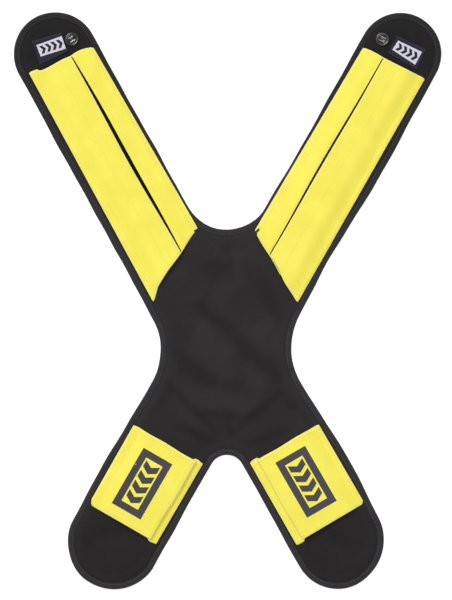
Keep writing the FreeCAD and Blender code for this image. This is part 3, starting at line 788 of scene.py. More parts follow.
def makeQuarterCovers(arm):
    level = arm.split("_")[1]
    sign = arms[arm]["sign"]
    points, d, quads, edges = coverPlans[level]
    x, y = laid(points[:, 0] * sign, points[:, 1])
    top = np.stack([x, y, padTop(x, y, d)], axis=1)
    bottom = np.stack([x, y, padBottom(d)], axis=1)
    upFaces = quads if sign > 0 else quads[:, ::-1]
    face = meshObject(f"{arm}_face_cover", top, upFaces, materials["faceCloth"])
    # painted shade in the deeper creases and painted light where the settling lifts the cloth
    shade = face.data.attributes.new("creaseShade", "FLOAT", "POINT")
    dip = (creaseDepth(x, y) - 0.7 * settledAt(x, y)) * ease((d - 0.008) / 0.012) / 0.001
    shade.data.foreach_set("value", dip.astype(np.float32))
    # the lining carries the thin walls: under the tape, and inside at the joins with the other quarters
    count = len(points)
    walls, wallPoints = [], []
    for a, c in edges:
        k = len(wallPoints)
        wallPoints += [bottom[a], bottom[c], top[c], top[a]]
        wall = [count + k, count + k + 1, count + k + 2, count + k + 3]
        walls.append(wall if sign > 0 else wall[::-1])
    downFaces = [list(q[::-1]) for q in upFaces]
    liningPoints = np.concatenate([bottom, np.array(wallPoints)])
    lining = meshObject(f"{arm}_lining_cover", liningPoints, downFaces + walls, materials["lining"])
    return face, lining


for arm in arms:
    face, lining = makeQuarterCovers(arm)
    for piece, layer, slot in ((face, "face_cloth", "face_cloth"), (lining, "lining", "lining_cloth")):
        foldBlend(piece, arm)
        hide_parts(f"{arm}_{layer}", f"centre_{layer}")
    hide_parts(f"{arm}_foam", "centre_foam")
report("face cloth and lining sewn")

# edge tape

tapeSection = dict(width=0.0068, high=0.0061, low=0.0017, stitchInset=0.0053)


def tapeLoop():
    # the section as (inset, height): the outside from the top edge round to the lower one, then the inside
    t = tapeSection
    w, high, low, sewn = t["width"], t["high"], t["low"], t["stitchInset"]
    top = [(w, high - 0.0010), (w + 0.0001, high - 0.0004), (w - 0.0004, high - 0.00005),
           (sewn + 0.0007, high), (sewn, high - 0.00035), (sewn - 0.0007, high + 0.00005),
           (0.0032, high + 0.00015), (0.0018, high - 0.00015), (0.0008, high - 0.0007),
           (0.0002, high - 0.0014)]
    bottom = [(inset, high + low - z) for inset, z in top[::-1]]
    outside = [(0.0, (high + low) / 2)]
    inside = [(w - 0.0006, low + 0.0014), (0.004, low + 0.0016),
              (0.004, high - 0.0016), (w - 0.0006, high - 0.0014)]
    return top + outside + bottom, inside


def makeTape(arm):
    level = arm.split("_")[1]
    sign = arms[arm]["sign"]
    points, normals = walkOutline(0.0022)
    split = int(np.argmin(np.abs(points[:, 1] - waistY) + (points[:, 0] > 0.12)))
    points[split, 1] = waistY
    use = slice(0, split + 1) if level == "upper" else slice(split, None)
    run = np.concatenate([[0], np.cumsum(np.linalg.norm(np.diff(points, axis=0), axis=1))])[use]
    points, normals = points[use], normals[use]
    outer, inside = tapeLoop()
    section = outer + inside
    fade = ease(np.minimum(run - run[0], run[-1] - run) / 0.006)
    seed = {"left_upper": 11, "right_upper": 12, "left_lower": 13, "right_lower": 14}[arm]
    sway = 0.00035 * softNoise(run, run * 0, seed, 0.05) * fade
    lift = 0.00012 * softNoise(run, run * 0, seed + 20, 0.012) * fade
    vertices, uvs = [], []
    sides = [math.hypot(b[0] - a[0], b[1] - a[1]) for a, b in zip(section, section[1:])]
    around = np.concatenate([[0], np.cumsum(sides)])
    for k in range(len(points)):
        for m, (inset, z) in enumerate(section):
            share = 1 if m < len(outer) else 0.3
            p = points[k] + normals[k] * (inset + sway[k])
            x, y = laid(p[0] * sign, p[1])
            vertices.append((x, y, z + lift[k] * share * (1 if z > 0.0039 else -1)))
            uvs.append((run[k], around[m]))
    n = len(section)
    faces = []
    for k in range(len(points) - 1):
        for m in range(n):
            a, b = k * n + m, k * n + (m + 1) % n
            faces.append((a, b, b + n, a + n))
    faces.append(tuple(range(n)))
    faces.append(tuple(range(len(vertices) - n, len(vertices)))[::-1])
    piece = faceOutwards(meshObject(f"{arm}_edge_tape", vertices, faces, materials["binding"], uvs))
    for polygon in list(piece.data.polygons)[-2:]:
        polygon.use_smooth = False
    return piece


for arm in arms:
    tape = makeTape(arm)
    foldBlend(tape, arm)
    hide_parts(f"{arm}_edge_binding", "centre_edge_binding")
report("edge tape bound")

# stitches

stitchSizes = dict(pitch=0.0034, length=0.0026, thread=0.00030)


def linkAll(tree, wires):
    for source, output, target, socket in wires:
        tree.links.new(source.outputs[output], target.inputs[socket])


def stitchTree(material):
    # named inputs: Pitch, Thread Length, Thread Radius, Lean; a short thread lies at each step of every line
    tree = bpy.data.node_groups.new("stitchRow", "GeometryNodeTree")
    face = tree.interface
    face.new_socket("Geometry", in_out="INPUT", socket_type="NodeSocketGeometry")
    for name, value in (("Pitch", stitchSizes["pitch"]), ("Thread Length", stitchSizes["length"]),
                        ("Thread Radius", stitchSizes["thread"]), ("Lean", 0.05)):
        socket = face.new_socket(name, in_out="INPUT", socket_type="NodeSocketFloat")
        socket.default_value = value
    face.new_socket("Geometry", in_out="OUTPUT", socket_type="NodeSocketGeometry")
    add = tree.nodes.new
    source, target = add("NodeGroupInput"), add("NodeGroupOutput")
    curve = add("GeometryNodeMeshToCurve")
    resample = add("GeometryNodeResampleCurve")
    resample.mode = "LENGTH"
    toPoints = add("GeometryNodeCurveToPoints")
    toPoints.mode = "EVALUATED"
    thread = add("GeometryNodeMeshIcoSphere")
    thread.inputs["Subdivisions"].default_value = 1
    stretch = add("GeometryNodeTransform")
    size = add("ShaderNodeCombineXYZ")
    half = add("ShaderNodeMath")
    half.operation = "MULTIPLY"
    half.inputs[1].default_value = 0.5
    instance = add("GeometryNodeInstanceOnPoints")
    wobble = add("FunctionNodeRandomValue")
    wobble.data_type = "FLOAT_VECTOR"
    wobble.inputs["Seed"].default_value = 5
    spread = add("ShaderNodeCombineXYZ")
    negative = add("ShaderNodeVectorMath")
    negative.operation = "SCALE"
    negative.inputs["Scale"].default_value = -1
    rotate = add("FunctionNodeRotateRotation")
    lean = add("FunctionNodeEulerToRotation")
    real = add("GeometryNodeRealizeInstances")
    paint = add("GeometryNodeSetMaterial")
    paint.inputs["Material"].default_value = material
    smooth = add("GeometryNodeSetShadeSmooth")
    thread.inputs["Radius"].default_value = 1.0
    rotate.rotation_space = "LOCAL"
    linkAll(tree, [
        (source, "Geometry", curve, "Mesh"),
        (curve, "Curve", resample, "Curve"),
        (source, "Pitch", resample, "Length"),
        (resample, "Curve", toPoints, "Curve"),
        (toPoints, "Points", instance, "Points"),
        (source, "Thread Length", half, 0),
        (source, "Thread Radius", size, "X"),
        (source, "Thread Radius", size, "Y"),
        (half, 0, size, "Z"),
        (thread, "Mesh", stretch, "Geometry"),
        (size, 0, stretch, "Scale"),
        (stretch, "Geometry", instance, "Instance"),
        (source, "Lean", spread, "X"),
        (source, "Lean", spread, "Y"),
        (spread, 0, negative, 0),
        (negative, 0, wobble, "Min"),
        (spread, 0, wobble, "Max"),
        (wobble, "Value", lean, 0),
        (toPoints, "Rotation", rotate, "Rotation"),
        (lean, 0, rotate, "Rotate By"),
        (rotate, 0, instance, "Rotation"),
        (instance, "Instances", real, "Geometry"),
        (real, "Geometry", smooth, "Geometry"),
        (smooth, "Geometry", paint, "Geometry"),
        (paint, "Geometry", target, "Geometry"),
    ])
    return tree


threads = {"black": stitchTree(materials["blackThread"]), "yellow": stitchTree(materials["yellowThread"])}


def sewRows(name, rows, threadColour):
    # rows are lists of points; all the rows of one call become one mesh
    vertices, edges = [], []
    for row in rows:
        first = len(vertices)
        vertices += [tuple(p) for p in row]
        edges += [(k, k + 1) for k in range(first, len(vertices) - 1)]
    guide = bpy.data.meshes.new(name + "_guide")
    guide.from_pydata(vertices, edges, [])
    piece = bpy.data.objects.new(name + "_guide", guide)
    bpy.context.scene.collection.objects.link(piece)
    modifier = piece.modifiers.new("stitches", "NODES")
    modifier.node_group = threads[threadColour]
    bpy.context.view_layer.update()
    evaluated = piece.evaluated_get(bpy.context.evaluated_depsgraph_get())
    mesh = bpy.data.meshes.new_from_object(evaluated)
    bpy.data.objects.remove(piece)
    mesh.name = name
    made = bpy.data.objects.new(name, mesh)
    bpy.context.scene.collection.objects.link(made)
    return made


def tapeStitches(arm):
    sign, level = arms[arm]["sign"], arm.split("_")[1]
    points, normals = walkOutline(0.0022)
    split = int(np.argmin(np.abs(points[:, 1] - waistY) + (points[:, 0] > 0.12)))
    use = slice(0, split + 1) if level == "upper" else slice(split, None)
    points, normals = points[use], normals[use]
    t = tapeSection
    rows = []
    for z in (t["high"] - 0.0002, t["low"] + 0.0002):
        p = points + normals * t["stitchInset"]
        x, y = laid(p[:, 0] * sign, p[:, 1])
        rows.append(np.stack([x, y, np.full(len(p), z)], axis=1))
    return sewRows(f"{arm}_tape_stitches", rows, "black")


for arm in arms:
    stitches = tapeStitches(arm)
    foldBlend(stitches, arm)
report("tape stitched")

# sleeves and bands

sleeveBuild = dict(cloth=0.0006, fold=0.0060, turned=0.00105, cellAcross=0.0022, cellAlong=0.0030,
                   hingeHeight=0.0083, under=0.0116, over=0.01395, rise=0.0170, tongueRise=0.0075,
                   loopLow=0.0130, zone=0.0026, sag=0.0007, flow=0.00030, ripple=0.00015, drag=0.00022)

# across is measured from the arm's centre line, plus towards the opposite arm, and along from the centre of
# its tip circle towards the middle of the pad; each pair is (at the tip end, at the middle end)
sleeveKind = dict(word="sleeve", wide="wide_flap", narrow="narrow_flap", hinges=(-0.0305, 0.0375),
                  under=(-0.0040, -0.0040), corner=0.001, wander=0.0005, drop=0.0, tongueOut=0.0)
bandKind = dict(word="band", wide="band_flap", narrow="band_tongue", hinges=(-0.0405, 0.0365),
                under=(0.0125, 0.0125), wander=0.0003, drop=0.0008, gap=0.0, kink=0.0, kinkFrom=0.0,
                short=0.0, notch=0.0, tipCurve=0.0)
sleeves = {
    "left_upper": dict(sleeveKind, outer=(-0.0325, -0.0375), inner=(0.0425, 0.0445), free=(0.0163, 0.0150),
                       tip=(0.0040, 0.0145), middle=(0.2817, 0.2451), gap=0.0032, kink=0.55,
                       kinkFrom=-0.0251, short=0.0, notch=0.0030, tipCurve=0.0022, seed=31),
    "right_upper": dict(sleeveKind, outer=(-0.0355, -0.0348), inner=(0.0400, 0.0447), free=(0.0145, 0.0168),
                        tip=(0.0100, 0.0135), middle=(0.2940, 0.2504), gap=0.0014, kink=0.0,
                        kinkFrom=0.0, short=0.0026, notch=0.0, tipCurve=0.0008, seed=47),
    "left_lower": dict(bandKind, outer=(-0.0455, -0.0462), inner=(0.0400, 0.0405), free=(0.0318, 0.0330),
                       tip=(0.0235, 0.0235), middle=(0.1235, 0.1225), corner=0.006, tongueOut=0.0022,
                       seed=59),
    "right_lower": dict(bandKind, outer=(-0.0452, -0.0450), inner=(0.0418, 0.0412), free=(0.0330, 0.0322),
                        tip=(0.0250, 0.0240), middle=(0.1250, 0.1240), corner=0.003, tongueOut=0.0025,
                        seed=73),
}


def between(pair, w):
    return pair[0] + (pair[1] - pair[0]) * w


def padSurface(arm, v, s):
    # height of the pad's face under a point of an arm, its edge tape included
    a = arms[arm]
    xy = a["tip"] + v[..., None] * a["inner"] + s[..., None] * a["along"]
    cut = np.stack(unlaid(xy[..., 0], xy[..., 1]), axis=-1) - a["tip"]
    across, along = cut @ a["inner"], cut @ a["along"]
    inset = a["radius"] - np.where(along < 0, np.hypot(across, along), np.abs(across))
    top = padTop(xy[..., 0], xy[..., 1], inset)
    return np.where(inset < 0.0075, np.maximum(top, tapeSection["high"] + 0.00035), top + 0.0001)


def slitEdge(cut, w, side):
    # side 0 is the wide flap's free edge, side 1 the far side of the slit
    bow = cut["gap"] * (ease(w / 0.5) * ease((1 - w) / 0.5)) ** 0.5
    lead = 0.0004 * np.sin(w * 9 + cut["seed"])
    return between(cut["free"], w) + lead - bow * 0.45 + side * (0.0012 + bow)


def endEdges(cut, v):
    low, high = cut["outer"][0], cut["inner"][0]
    t = (v - low) / (high - low)
    tip = between(cut["tip"], t)
    curl = np.clip((v - cut["free"][0]) / (high - cut["free"][0]), 0, 1)
    tip = tip - cut["tipCurve"] * np.sin(math.pi * curl)
    tip = tip + cut["notch"] * ease((v + 0.0235) / 0.003) * ease((0.012 - v) / 0.03)
    middle = between(cut["middle"], t) + cut["kink"] * np.maximum(0, cut["kinkFrom"] - v)
    middle = middle + cut["wander"] * np.sin(v * 150 + cut["seed"])
    return tip, middle


def layFlap(arm, part):
    # the middle surface of a flap, as across, along and height on a grid
    cut, b = sleeves[arm], sleeveBuild
    length = cut["middle"][0] - cut["tip"][0]
    rows = int(length / b["cellAlong"])
    wide = part == "wide"
    span = (cut["free"][0] - cut["outer"][0]) if wide else (cut["inner"][0] - cut["under"][0])
    columns = int(span / b["cellAcross"])
    w = np.linspace(0, 1, rows + 1)[None, :]
    u = np.linspace(0, 1, columns + 1)[:, None]
    if wide:
        first, last = between(cut["outer"], w), slitEdge(cut, w, 0)
    else:
        first, last = between(cut["inner"], w), between(cut["under"], w)
    v = first + (last - first) * u
    tip, middle = endEdges(cut, v)
    if not wide:
        shown = np.clip((v - cut["free"][0] + 0.0025) / 0.002, 0, 1)
        tip, middle = tip - cut["tongueOut"] * shown, middle + cut["tongueOut"] * shown
    # rounded corners on the outer edge
    outside = np.abs(v - first)
    r = cut["corner"]
    rounding = r - np.sqrt(np.maximum(r * r - np.maximum(r - outside, 0) ** 2, 0))
    least = np.minimum(rounding, 0.0008)
    if not (wide and cut["word"] == "band"):
        rounding = least
    if wide:
        middle = middle - cut["short"] * hump(v, 0.004, 0.009)
    s = (tip + rounding) + (middle - tip - rounding - least) * w
    hinge = cut["hinges"][0 if wide else 1]
    inward = (v - hinge) if wide else (hinge - v)
    roof = (b["over"] if wide else b["under"]) - cut["drop"]
    climb = ease(inward / (b["rise"] if wide or cut["word"] == "sleeve" else b["tongueRise"]))
    seed = cut["seed"] + (0 if wide else 5)
    flow = softNoise(v * 1.6, s, seed, 0.070)
    ripple = softNoise(v * 1.0, s * 1.15, seed + 1, 0.022)
    drag = softNoise(v * 0.7 + s * 0.5, s * 0.25 - v * 0.8, seed + 2, 0.030)
    closed = 1 - ease((np.abs(v - (between(cut["free"], w) - 0.009)) - 0.009) / 0.012)
    soft = climb * (1 - 0.75 * closed)
    edgeOf = np.minimum(s - tip, middle - s)
    z = b["hingeHeight"] + (roof - b["hingeHeight"]) * climb
    z = z - climb * b["sag"] * ease((0.030 - edgeOf) / 0.030)
    z = z + (b["flow"] * flow + b["ripple"] * ripple + b["drag"] * drag) * soft
    z = z - np.maximum(0, z - roof - 0.00035)
    # the sewn hem lies on the pad
    flat = ease(-inward / 0.0035)
    gathers = np.sin(s * 2 * math.pi / 0.0085 + seed)
    ground = padSurface(arm, v, s) + 0.00050 + 0.00010 * gathers
    z = z * (1 - flat) + ground * flat
    edge = np.minimum(np.abs(v - first), edgeOf)
    if wide:
        edge = np.minimum(edge, np.abs(last - v))
    turned = ease((b["fold"] - edge) / 0.0012)
    thick = b["cloth"] + (b["turned"] - b["cloth"]) * turned
    pinch = np.exp(-((edge - 0.0050) / 0.0008) ** 2)
    thick = thick - 0.00022 * pinch
    rim = 1 - np.exp(-(edge / 0.0011) ** 2) * 0.12
    return v, s, z, thick * rim, edge, hinge


def sheetMesh(name, arm, v, s, z, thick, material):
    middle = onArm(arm, v, s, z)
    du = np.gradient(middle, axis=0)
    dw = np.gradient(middle, axis=1)
    normal = np.cross(du, dw)
    normal /= np.maximum(np.linalg.norm(normal, axis=-1), 1e-12)[..., None]
    normal *= np.sign(normal[..., 2:3] + 1e-12)
    top = middle + normal * thick[..., None] / 2
    bottom = middle - normal * thick[..., None] / 2
    rows, columns = v.shape
    ids = np.arange(rows * columns).reshape(rows, columns)
    quads = np.stack([ids[:-1, :-1], ids[1:, :-1], ids[1:, 1:], ids[:-1, 1:]], axis=-1).reshape(-1, 4)
    loop = list(ids[:-1, 0]) + list(ids[-1, :-1]) + list(ids[:0:-1, -1]) + list(ids[0, :0:-1])
    flatMiddle = middle.reshape(-1, 3)
    spread = flatMiddle[loop]
    ahead, behind = np.roll(spread, -1, axis=0), np.roll(spread, 1, axis=0)
    heading = ahead - behind
    heading[..., 2] = 0
    heading /= np.linalg.norm(heading, axis=-1)[:, None]
    outward = np.stack([heading[:, 1], -heading[:, 0], heading[:, 0] * 0], axis=1)
    centre = flatMiddle.mean(axis=0)
    outward *= np.sign(((spread - centre) * outward).sum(axis=1).mean())
    bulge = spread + outward * thick.reshape(-1)[loop][:, None] * 0.42
    count = rows * columns
    points = np.concatenate([top.reshape(-1, 3), bottom.reshape(-1, 3), bulge])
    faces = [tuple(q) for q in quads] + [tuple(q[::-1] + count) for q in quads]
    n = len(loop)
    for k in range(n):
        a, b, c, d = loop[k], loop[(k + 1) % n], 2 * count + k, 2 * count + (k + 1) % n
        faces += [(a, c, d, b), (c, a + count, b + count, d)]
    uv = np.stack([v.reshape(-1), s.reshape(-1)], axis=1)
    uvs = np.concatenate([uv, uv, uv[loop]])
    return faceOutwards(meshObject(name, points, faces, material, uvs))


def markFolds(piece, edges, share):
    # how much painted highlight of the folded edge each point shows
    values = share * np.exp(-(edges / 0.0008) ** 2)
    attribute = piece.data.attributes.new("foldShare", "FLOAT", "POINT")
    attribute.data.foreach_set("value", values.astype(np.float32))


def hingeBlend(piece, arm, hinge, towards):
    zone = sleeveBuild["zone"]
    start = onArm(arm, hinge - towards * zone, 0.1, sleeveBuild["hingeHeight"])
    end = onArm(arm, hinge + towards * zone, 0.1, sleeveBuild["hingeHeight"])
    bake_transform(piece)
    return piece


def stripMesh(name, arm, low, high, end, lowZ, highZ, material):
    # a flat tape with rounded long edges; it stops short of both ends of the sleeve by end
    cut = sleeves[arm]
    rows = int((cut["middle"][0] - cut["tip"][0]) / 0.005)
    w = np.linspace(0, 1, rows + 1)[None, :]
    u = np.linspace(0, 1, 7)[:, None]
    v = low + (high(w) - low) * u
    tip, middle = endEdges(cut, v)
    s = tip + end + (middle - tip - 2 * end) * w
    thick = np.full_like(v, highZ - lowZ)
    return sheetMesh(name, arm, v, s, np.full_like(v, (lowZ + highZ) / 2), thick, material)


def hookTree(material):
    # named inputs: Density, Spacing, Hook Height, Hook Radius, Seed; small hooks stand all over a tape
    tree = bpy.data.node_groups.new("hookField", "GeometryNodeTree")
    face = tree.interface
    face.new_socket("Geometry", in_out="INPUT", socket_type="NodeSocketGeometry")
    for name, value in (("Density", 450000.0), ("Spacing", 0.0013),
                        ("Hook Height", 0.0008), ("Hook Radius", 0.00022)):
        face.new_socket(name, in_out="INPUT", socket_type="NodeSocketFloat").default_value = value
    face.new_socket("Seed", in_out="INPUT", socket_type="NodeSocketInt").default_value = 3
    face.new_socket("Geometry", in_out="OUTPUT", socket_type="NodeSocketGeometry")
    add = tree.nodes.new
    source, target = add("NodeGroupInput"), add("NodeGroupOutput")
    scatter = add("GeometryNodeDistributePointsOnFaces")
    scatter.distribute_method = "POISSON"
    hook = add("GeometryNodeMeshCone")
    hook.inputs["Vertices"].default_value = 5
    instance = add("GeometryNodeInstanceOnPoints")
    real = add("GeometryNodeRealizeInstances")
    paint = add("GeometryNodeSetMaterial")
    paint.inputs["Material"].default_value = material
    taper = add("ShaderNodeMath")
    taper.operation = "MULTIPLY"
    taper.inputs[1].default_value = 0.55
    linkAll(tree, [
        (source, "Geometry", scatter, "Mesh"),
        (source, "Spacing", scatter, "Distance Min"),
        (source, "Density", scatter, "Density Max"),
        (source, "Seed", scatter, "Seed"),
        (source, "Hook Height", hook, "Depth"),
        (source, "Hook Radius", hook, "Radius Bottom"),
        (source, "Hook Radius", taper, 0),
        (taper, 0, hook, "Radius Top"),
        (scatter, "Points", instance, "Points"),
        (hook, "Mesh", instance, "Instance"),
        (instance, "Instances", real, "Geometry"),
        (real, "Geometry", paint, "Geometry"),
        (paint, "Geometry", target, "Geometry"),
    ])
    return tree


hooks = hookTree(materials["hook"])


def growHooks(name, guide, seed):
    modifier = guide.modifiers.new("hooks", "NODES")
    modifier.node_group = hooks
    names = {item.name: item.identifier for item in hooks.interface.items_tree
             if item.item_type == "SOCKET" and item.in_out == "INPUT"}
    modifier[names["Seed"]] = seed
    bpy.context.view_layer.update()
    mesh = bpy.data.meshes.new_from_object(guide.evaluated_get(bpy.context.evaluated_depsgraph_get()))
    bpy.data.objects.remove(guide)
    made = bpy.data.objects.new(name, mesh)
    mesh.name = name
    bpy.context.scene.collection.objects.link(made)
    return made


def rowAlong(arm, v, s, z, across):
    # a row of thread that runs along a flap; across says where it lies at each step
    out = []
    for k in range(v.shape[1]):
        column, want = v[:, k], across[k]
        order = np.argsort(column)
        if want < column.min() or want > column.max():
            continue
        spot, height = [np.interp(want, column[order], grid[:, k][order]) for grid in (s, z)]
        out.append(tuple(onArm(arm, want, spot, height)))
    return out[1:-1]


def rowAcross(arm, v, s, z, k, low, high):
    # a row of thread across a flap, at one step of its length
    picks = [m for m in range(v.shape[0]) if low <= v[m, k] <= high]
    return [tuple(onArm(arm, v[m, k], s[m, k], z[m, k])) for m in picks]


def flapRows(arm, part, v, s, z, hinge):
    # the rows of thread on a flap, and the one that sews its hem to the pad
    cut = sleeves[arm]
    slit = cut["free"][0] + cut["gap"]
    steps = v.shape[1]
    if part == "wide":
        places = [np.full(steps, hinge + 0.0025), v[-1] - 0.0022]
        if cut["word"] == "sleeve":
            places.append(v[-1] - 0.0185)
        hem, reach = hinge - 0.0022, (hinge + 0.003, 0.9)
    else:
        places = [np.full(steps, slit + 0.0045)] if cut["word"] == "sleeve" else []
        hem, reach = hinge + 0.0022, (slit + 0.001, hinge - 0.003)
    rows = [rowAlong(arm, v, s, z, place) for place in places]
    rows += [rowAcross(arm, v, s, z, k, *reach) for k in (1, steps - 2)]
    seam = [rowAlong(arm, v, s, z, np.full(steps, hem))]
    return [row for row in rows if len(row) > 2], [row for row in seam if len(row) > 2]


def makeFlap(arm, part, body, prefix):
    cut, wide = sleeves[arm], part == "wide"
    if cut["word"] == "sleeve":
        cadFlap = f"{prefix}_{part}_flap"
    else:
        cadFlap = f"{prefix}_flap" if wide else f"{prefix}_tongue"
    hem = f"{prefix}_outer_hem" if wide else f"{prefix}_inner_hem"
    v, s, z, thick, edge, hinge = layFlap(arm, part)
    piece = sheetMesh(f"{body}_cloth", arm, v, s, z, thick, materials["sleeve"])
    flatEdge = edge.ravel()
    rim = np.zeros(len(piece.data.vertices) - 2 * len(flatEdge))
    markFolds(piece, np.concatenate([flatEdge, flatEdge, rim]), 0.50)
    if wide:
        flapTrees[arm] = BVHTree.FromPolygons([vertex.co for vertex in piece.data.vertices],
                                              [tuple(polygon.vertices) for polygon in piece.data.polygons])
    hingeBlend(piece, arm, hinge, 1 if wide else -1)
    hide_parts(cadFlap, hem)
    flat = (float(v.max()) - float(v.min()) + (0.004 if wide else 0.002), float(s.max() - s.min()))
    area = min(sheetArea(v, s), flat[0] * flat[1])
    rows, seam = flapRows(arm, part, v, s, z + thick / 2 - 0.00006, hinge)
    for name, sewn, carrier in (("stitches", rows, body), ("hem_stitches", seam, f"{arm}_arm")):
        if sewn:
            stitched = sewRows(f"{body}_{name}", sewn, "yellow")
            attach(stitched, carrier)


def makeClosure(arm, bodies, prefix):
    # hook tape with its hooks on the narrow flap, loop tape under the wide one
    cut, b = sleeves[arm], sleeveBuild
    inFrom = cut["under"][0] + 0.0004
    base = b["under"] + b["cloth"] / 2 - cut["drop"]
    ceiling = b["over"] - b["cloth"] / 2 - 0.0001 - cut["drop"]

    def hookEdge(w):
        return slitEdge(cut, w, 1) if cut["gap"] else between(cut["free"], w) - 0.001

    hookStrip = stripMesh(f"{bodies['narrow']}_hook_tape", arm, inFrom, hookEdge, 0.0012,
                          base, base + 0.0005, materials["hook"])
    guide = stripMesh("hook_guide", arm, inFrom + 0.001, lambda w: hookEdge(w) - 0.0006, 0.002,
                      base + 0.0004, base + 0.00041, materials["hook"])
    work = bmesh.new()
    work.from_mesh(guide.data)
    bmesh.ops.delete(work, geom=[f for f in work.faces if f.normal.z < 0.9], context="FACES")
    work.to_mesh(guide.data)
    work.free()
    hookField = growHooks(f"{bodies['narrow']}_hooks", guide, cut["seed"])
    loopStrip = stripMesh(f"{bodies['wide']}_loop_tape", arm, inFrom, lambda w: slitEdge(cut, w, 0) - 0.0008,
                          0.0015, b["loopLow"] - cut["drop"], ceiling, materials["loop"])
    for piece, part, slot in ((hookStrip, "narrow", "hook_tape"), (hookField, "narrow", "hook_tape"),
                              (loopStrip, "wide", "loop_tape")):
        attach(piece, bodies[part])
    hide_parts(f"{prefix}_hook_strip")
    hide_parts(f"{prefix}_loop_strip")


def makeSleeve(arm):
    hand, cut = arm.split("_")[0], sleeves[arm]
    prefix = f"{hand}_{cut['word']}"
    bodies = {part: f"{hand}_{cut[part]}" for part in ("wide", "narrow")}
    for part, body in bodies.items():
        makeFlap(arm, part, body, prefix)
    makeClosure(arm, bodies, prefix)
    report(f"{prefix} sewn on")


def sheetArea(v, s):
    a = np.stack([v, s], axis=-1)
    d1 = a[1:, 1:] - a[:-1, :-1]
    d2 = a[:-1, 1:] - a[1:, :-1]
    return float((np.abs(d1[..., 0] * d2[..., 1] - d1[..., 1] * d2[..., 0]) / 2).sum())


flapTrees = {}
for arm in sleeves:
    makeSleeve(arm)

# labels

labelBuild = dict(thick=0.00045, tuft=0.00012, marks=4)
# corners in an arm's across and along, from the label's top at the left and round
labelPlaces = {
    "left_upper": dict(ground=[(-0.0125, -0.0245), (0.0205, -0.0172), (0.0160, 0.0045), (-0.0178, 0.0020)],
                       white=[(-0.0106, -0.0183), (0.0186, -0.0133), (0.0159, 0.0010), (-0.0126, -0.0050)]),
    "right_upper": dict(ground=[(0.0143, -0.0160), (-0.0208, -0.0190), (-0.0225, 0.0052), (0.0135, 0.0052)],
                        white=[(0.0106, -0.0122), (-0.0184, -0.0141), (-0.0187, 0.0018), (0.0112, -0.0003)]),
}


def raisedShapes(name, arm, shapes, surface, thick, material):
    # flat shapes of thread or ink that lie on a surface; each shape is a polygon in across and along
    vertices, faces, uvs = [], [], []
    for shape in shapes:
        shape = np.array(shape, float)
        n = len(shape)
        z = surface(shape[:, 0], shape[:, 1])
        first = len(vertices)
        low = onArm(arm, shape[:, 0], shape[:, 1], z)
        high = onArm(arm, shape[:, 0], shape[:, 1], z + thick)
        vertices += [tuple(p) for p in low] + [tuple(p) for p in high]
        uvs += [tuple(p) for p in shape] * 2
        faces.append(tuple(range(first + n, first + 2 * n)))
        faces.append(tuple(range(first + n - 1, first - 1, -1)))
        for k in range(n):
            j = (k + 1) % n
            faces.append((first + k, first + j, first + n + j, first + n + k))
    return faceOutwards(meshObject(name, vertices, faces, material, uvs, smooth=False))


def frameShapes(v0, v1, s0, s1, width):
    # a rectangular outline as four mitred bars
    i = width
    o = [(v0, s0), (v1, s0), (v1, s1), (v0, s1)]
    n = [(v0 + i, s0 + i), (v1 - i, s0 + i), (v1 - i, s1 - i), (v0 + i, s1 - i)]
    return [[o[k], o[(k + 1) % 4], n[(k + 1) % 4], n[k]] for k in range(4)]


def splitShapes(shapes, pitch):
    # long bars are cut into short ones so that they can follow a curved surface
    pieces = []
    for shape in shapes:
        a, b, c, d = [np.array(p, float) for p in shape]
        count = max(1, int(max(np.linalg.norm(b - a), np.linalg.norm(c - d)) / pitch))
        for k in range(count):
            t, u = k / count, (k + 1) / count
            pieces.append([a + (b - a) * t, a + (b - a) * u, d + (c - d) * u, d + (c - d) * t])
    return pieces


def arrows(v0, v1, s0, s1, count, stroke):
    # chevrons in a row that all point across
    shapes = []
    pitch = (v1 - v0) / count
    middle = (s0 + s1) / 2
    for k in range(count):
        left, point = v0 + pitch * k, v0 + pitch * k + pitch * 0.46
        shapes.append([(left, s0), (left + stroke, s0), (point + stroke, middle), (point, middle)])
        shapes.append([(point, middle), (point + stroke, middle), (left + stroke, s1), (left, s1)])
    return shapes


def onQuad(quad, spots):
    # spots of the unit square moved into a four-cornered shape
    t, u = np.asarray(spots, float)[..., 0:1], np.asarray(spots, float)[..., 1:2]
    a, b, c, d = [np.array(corner) for corner in quad]
    return a * (1 - t) * (1 - u) + b * t * (1 - u) + c * t * u + d * (1 - t) * u


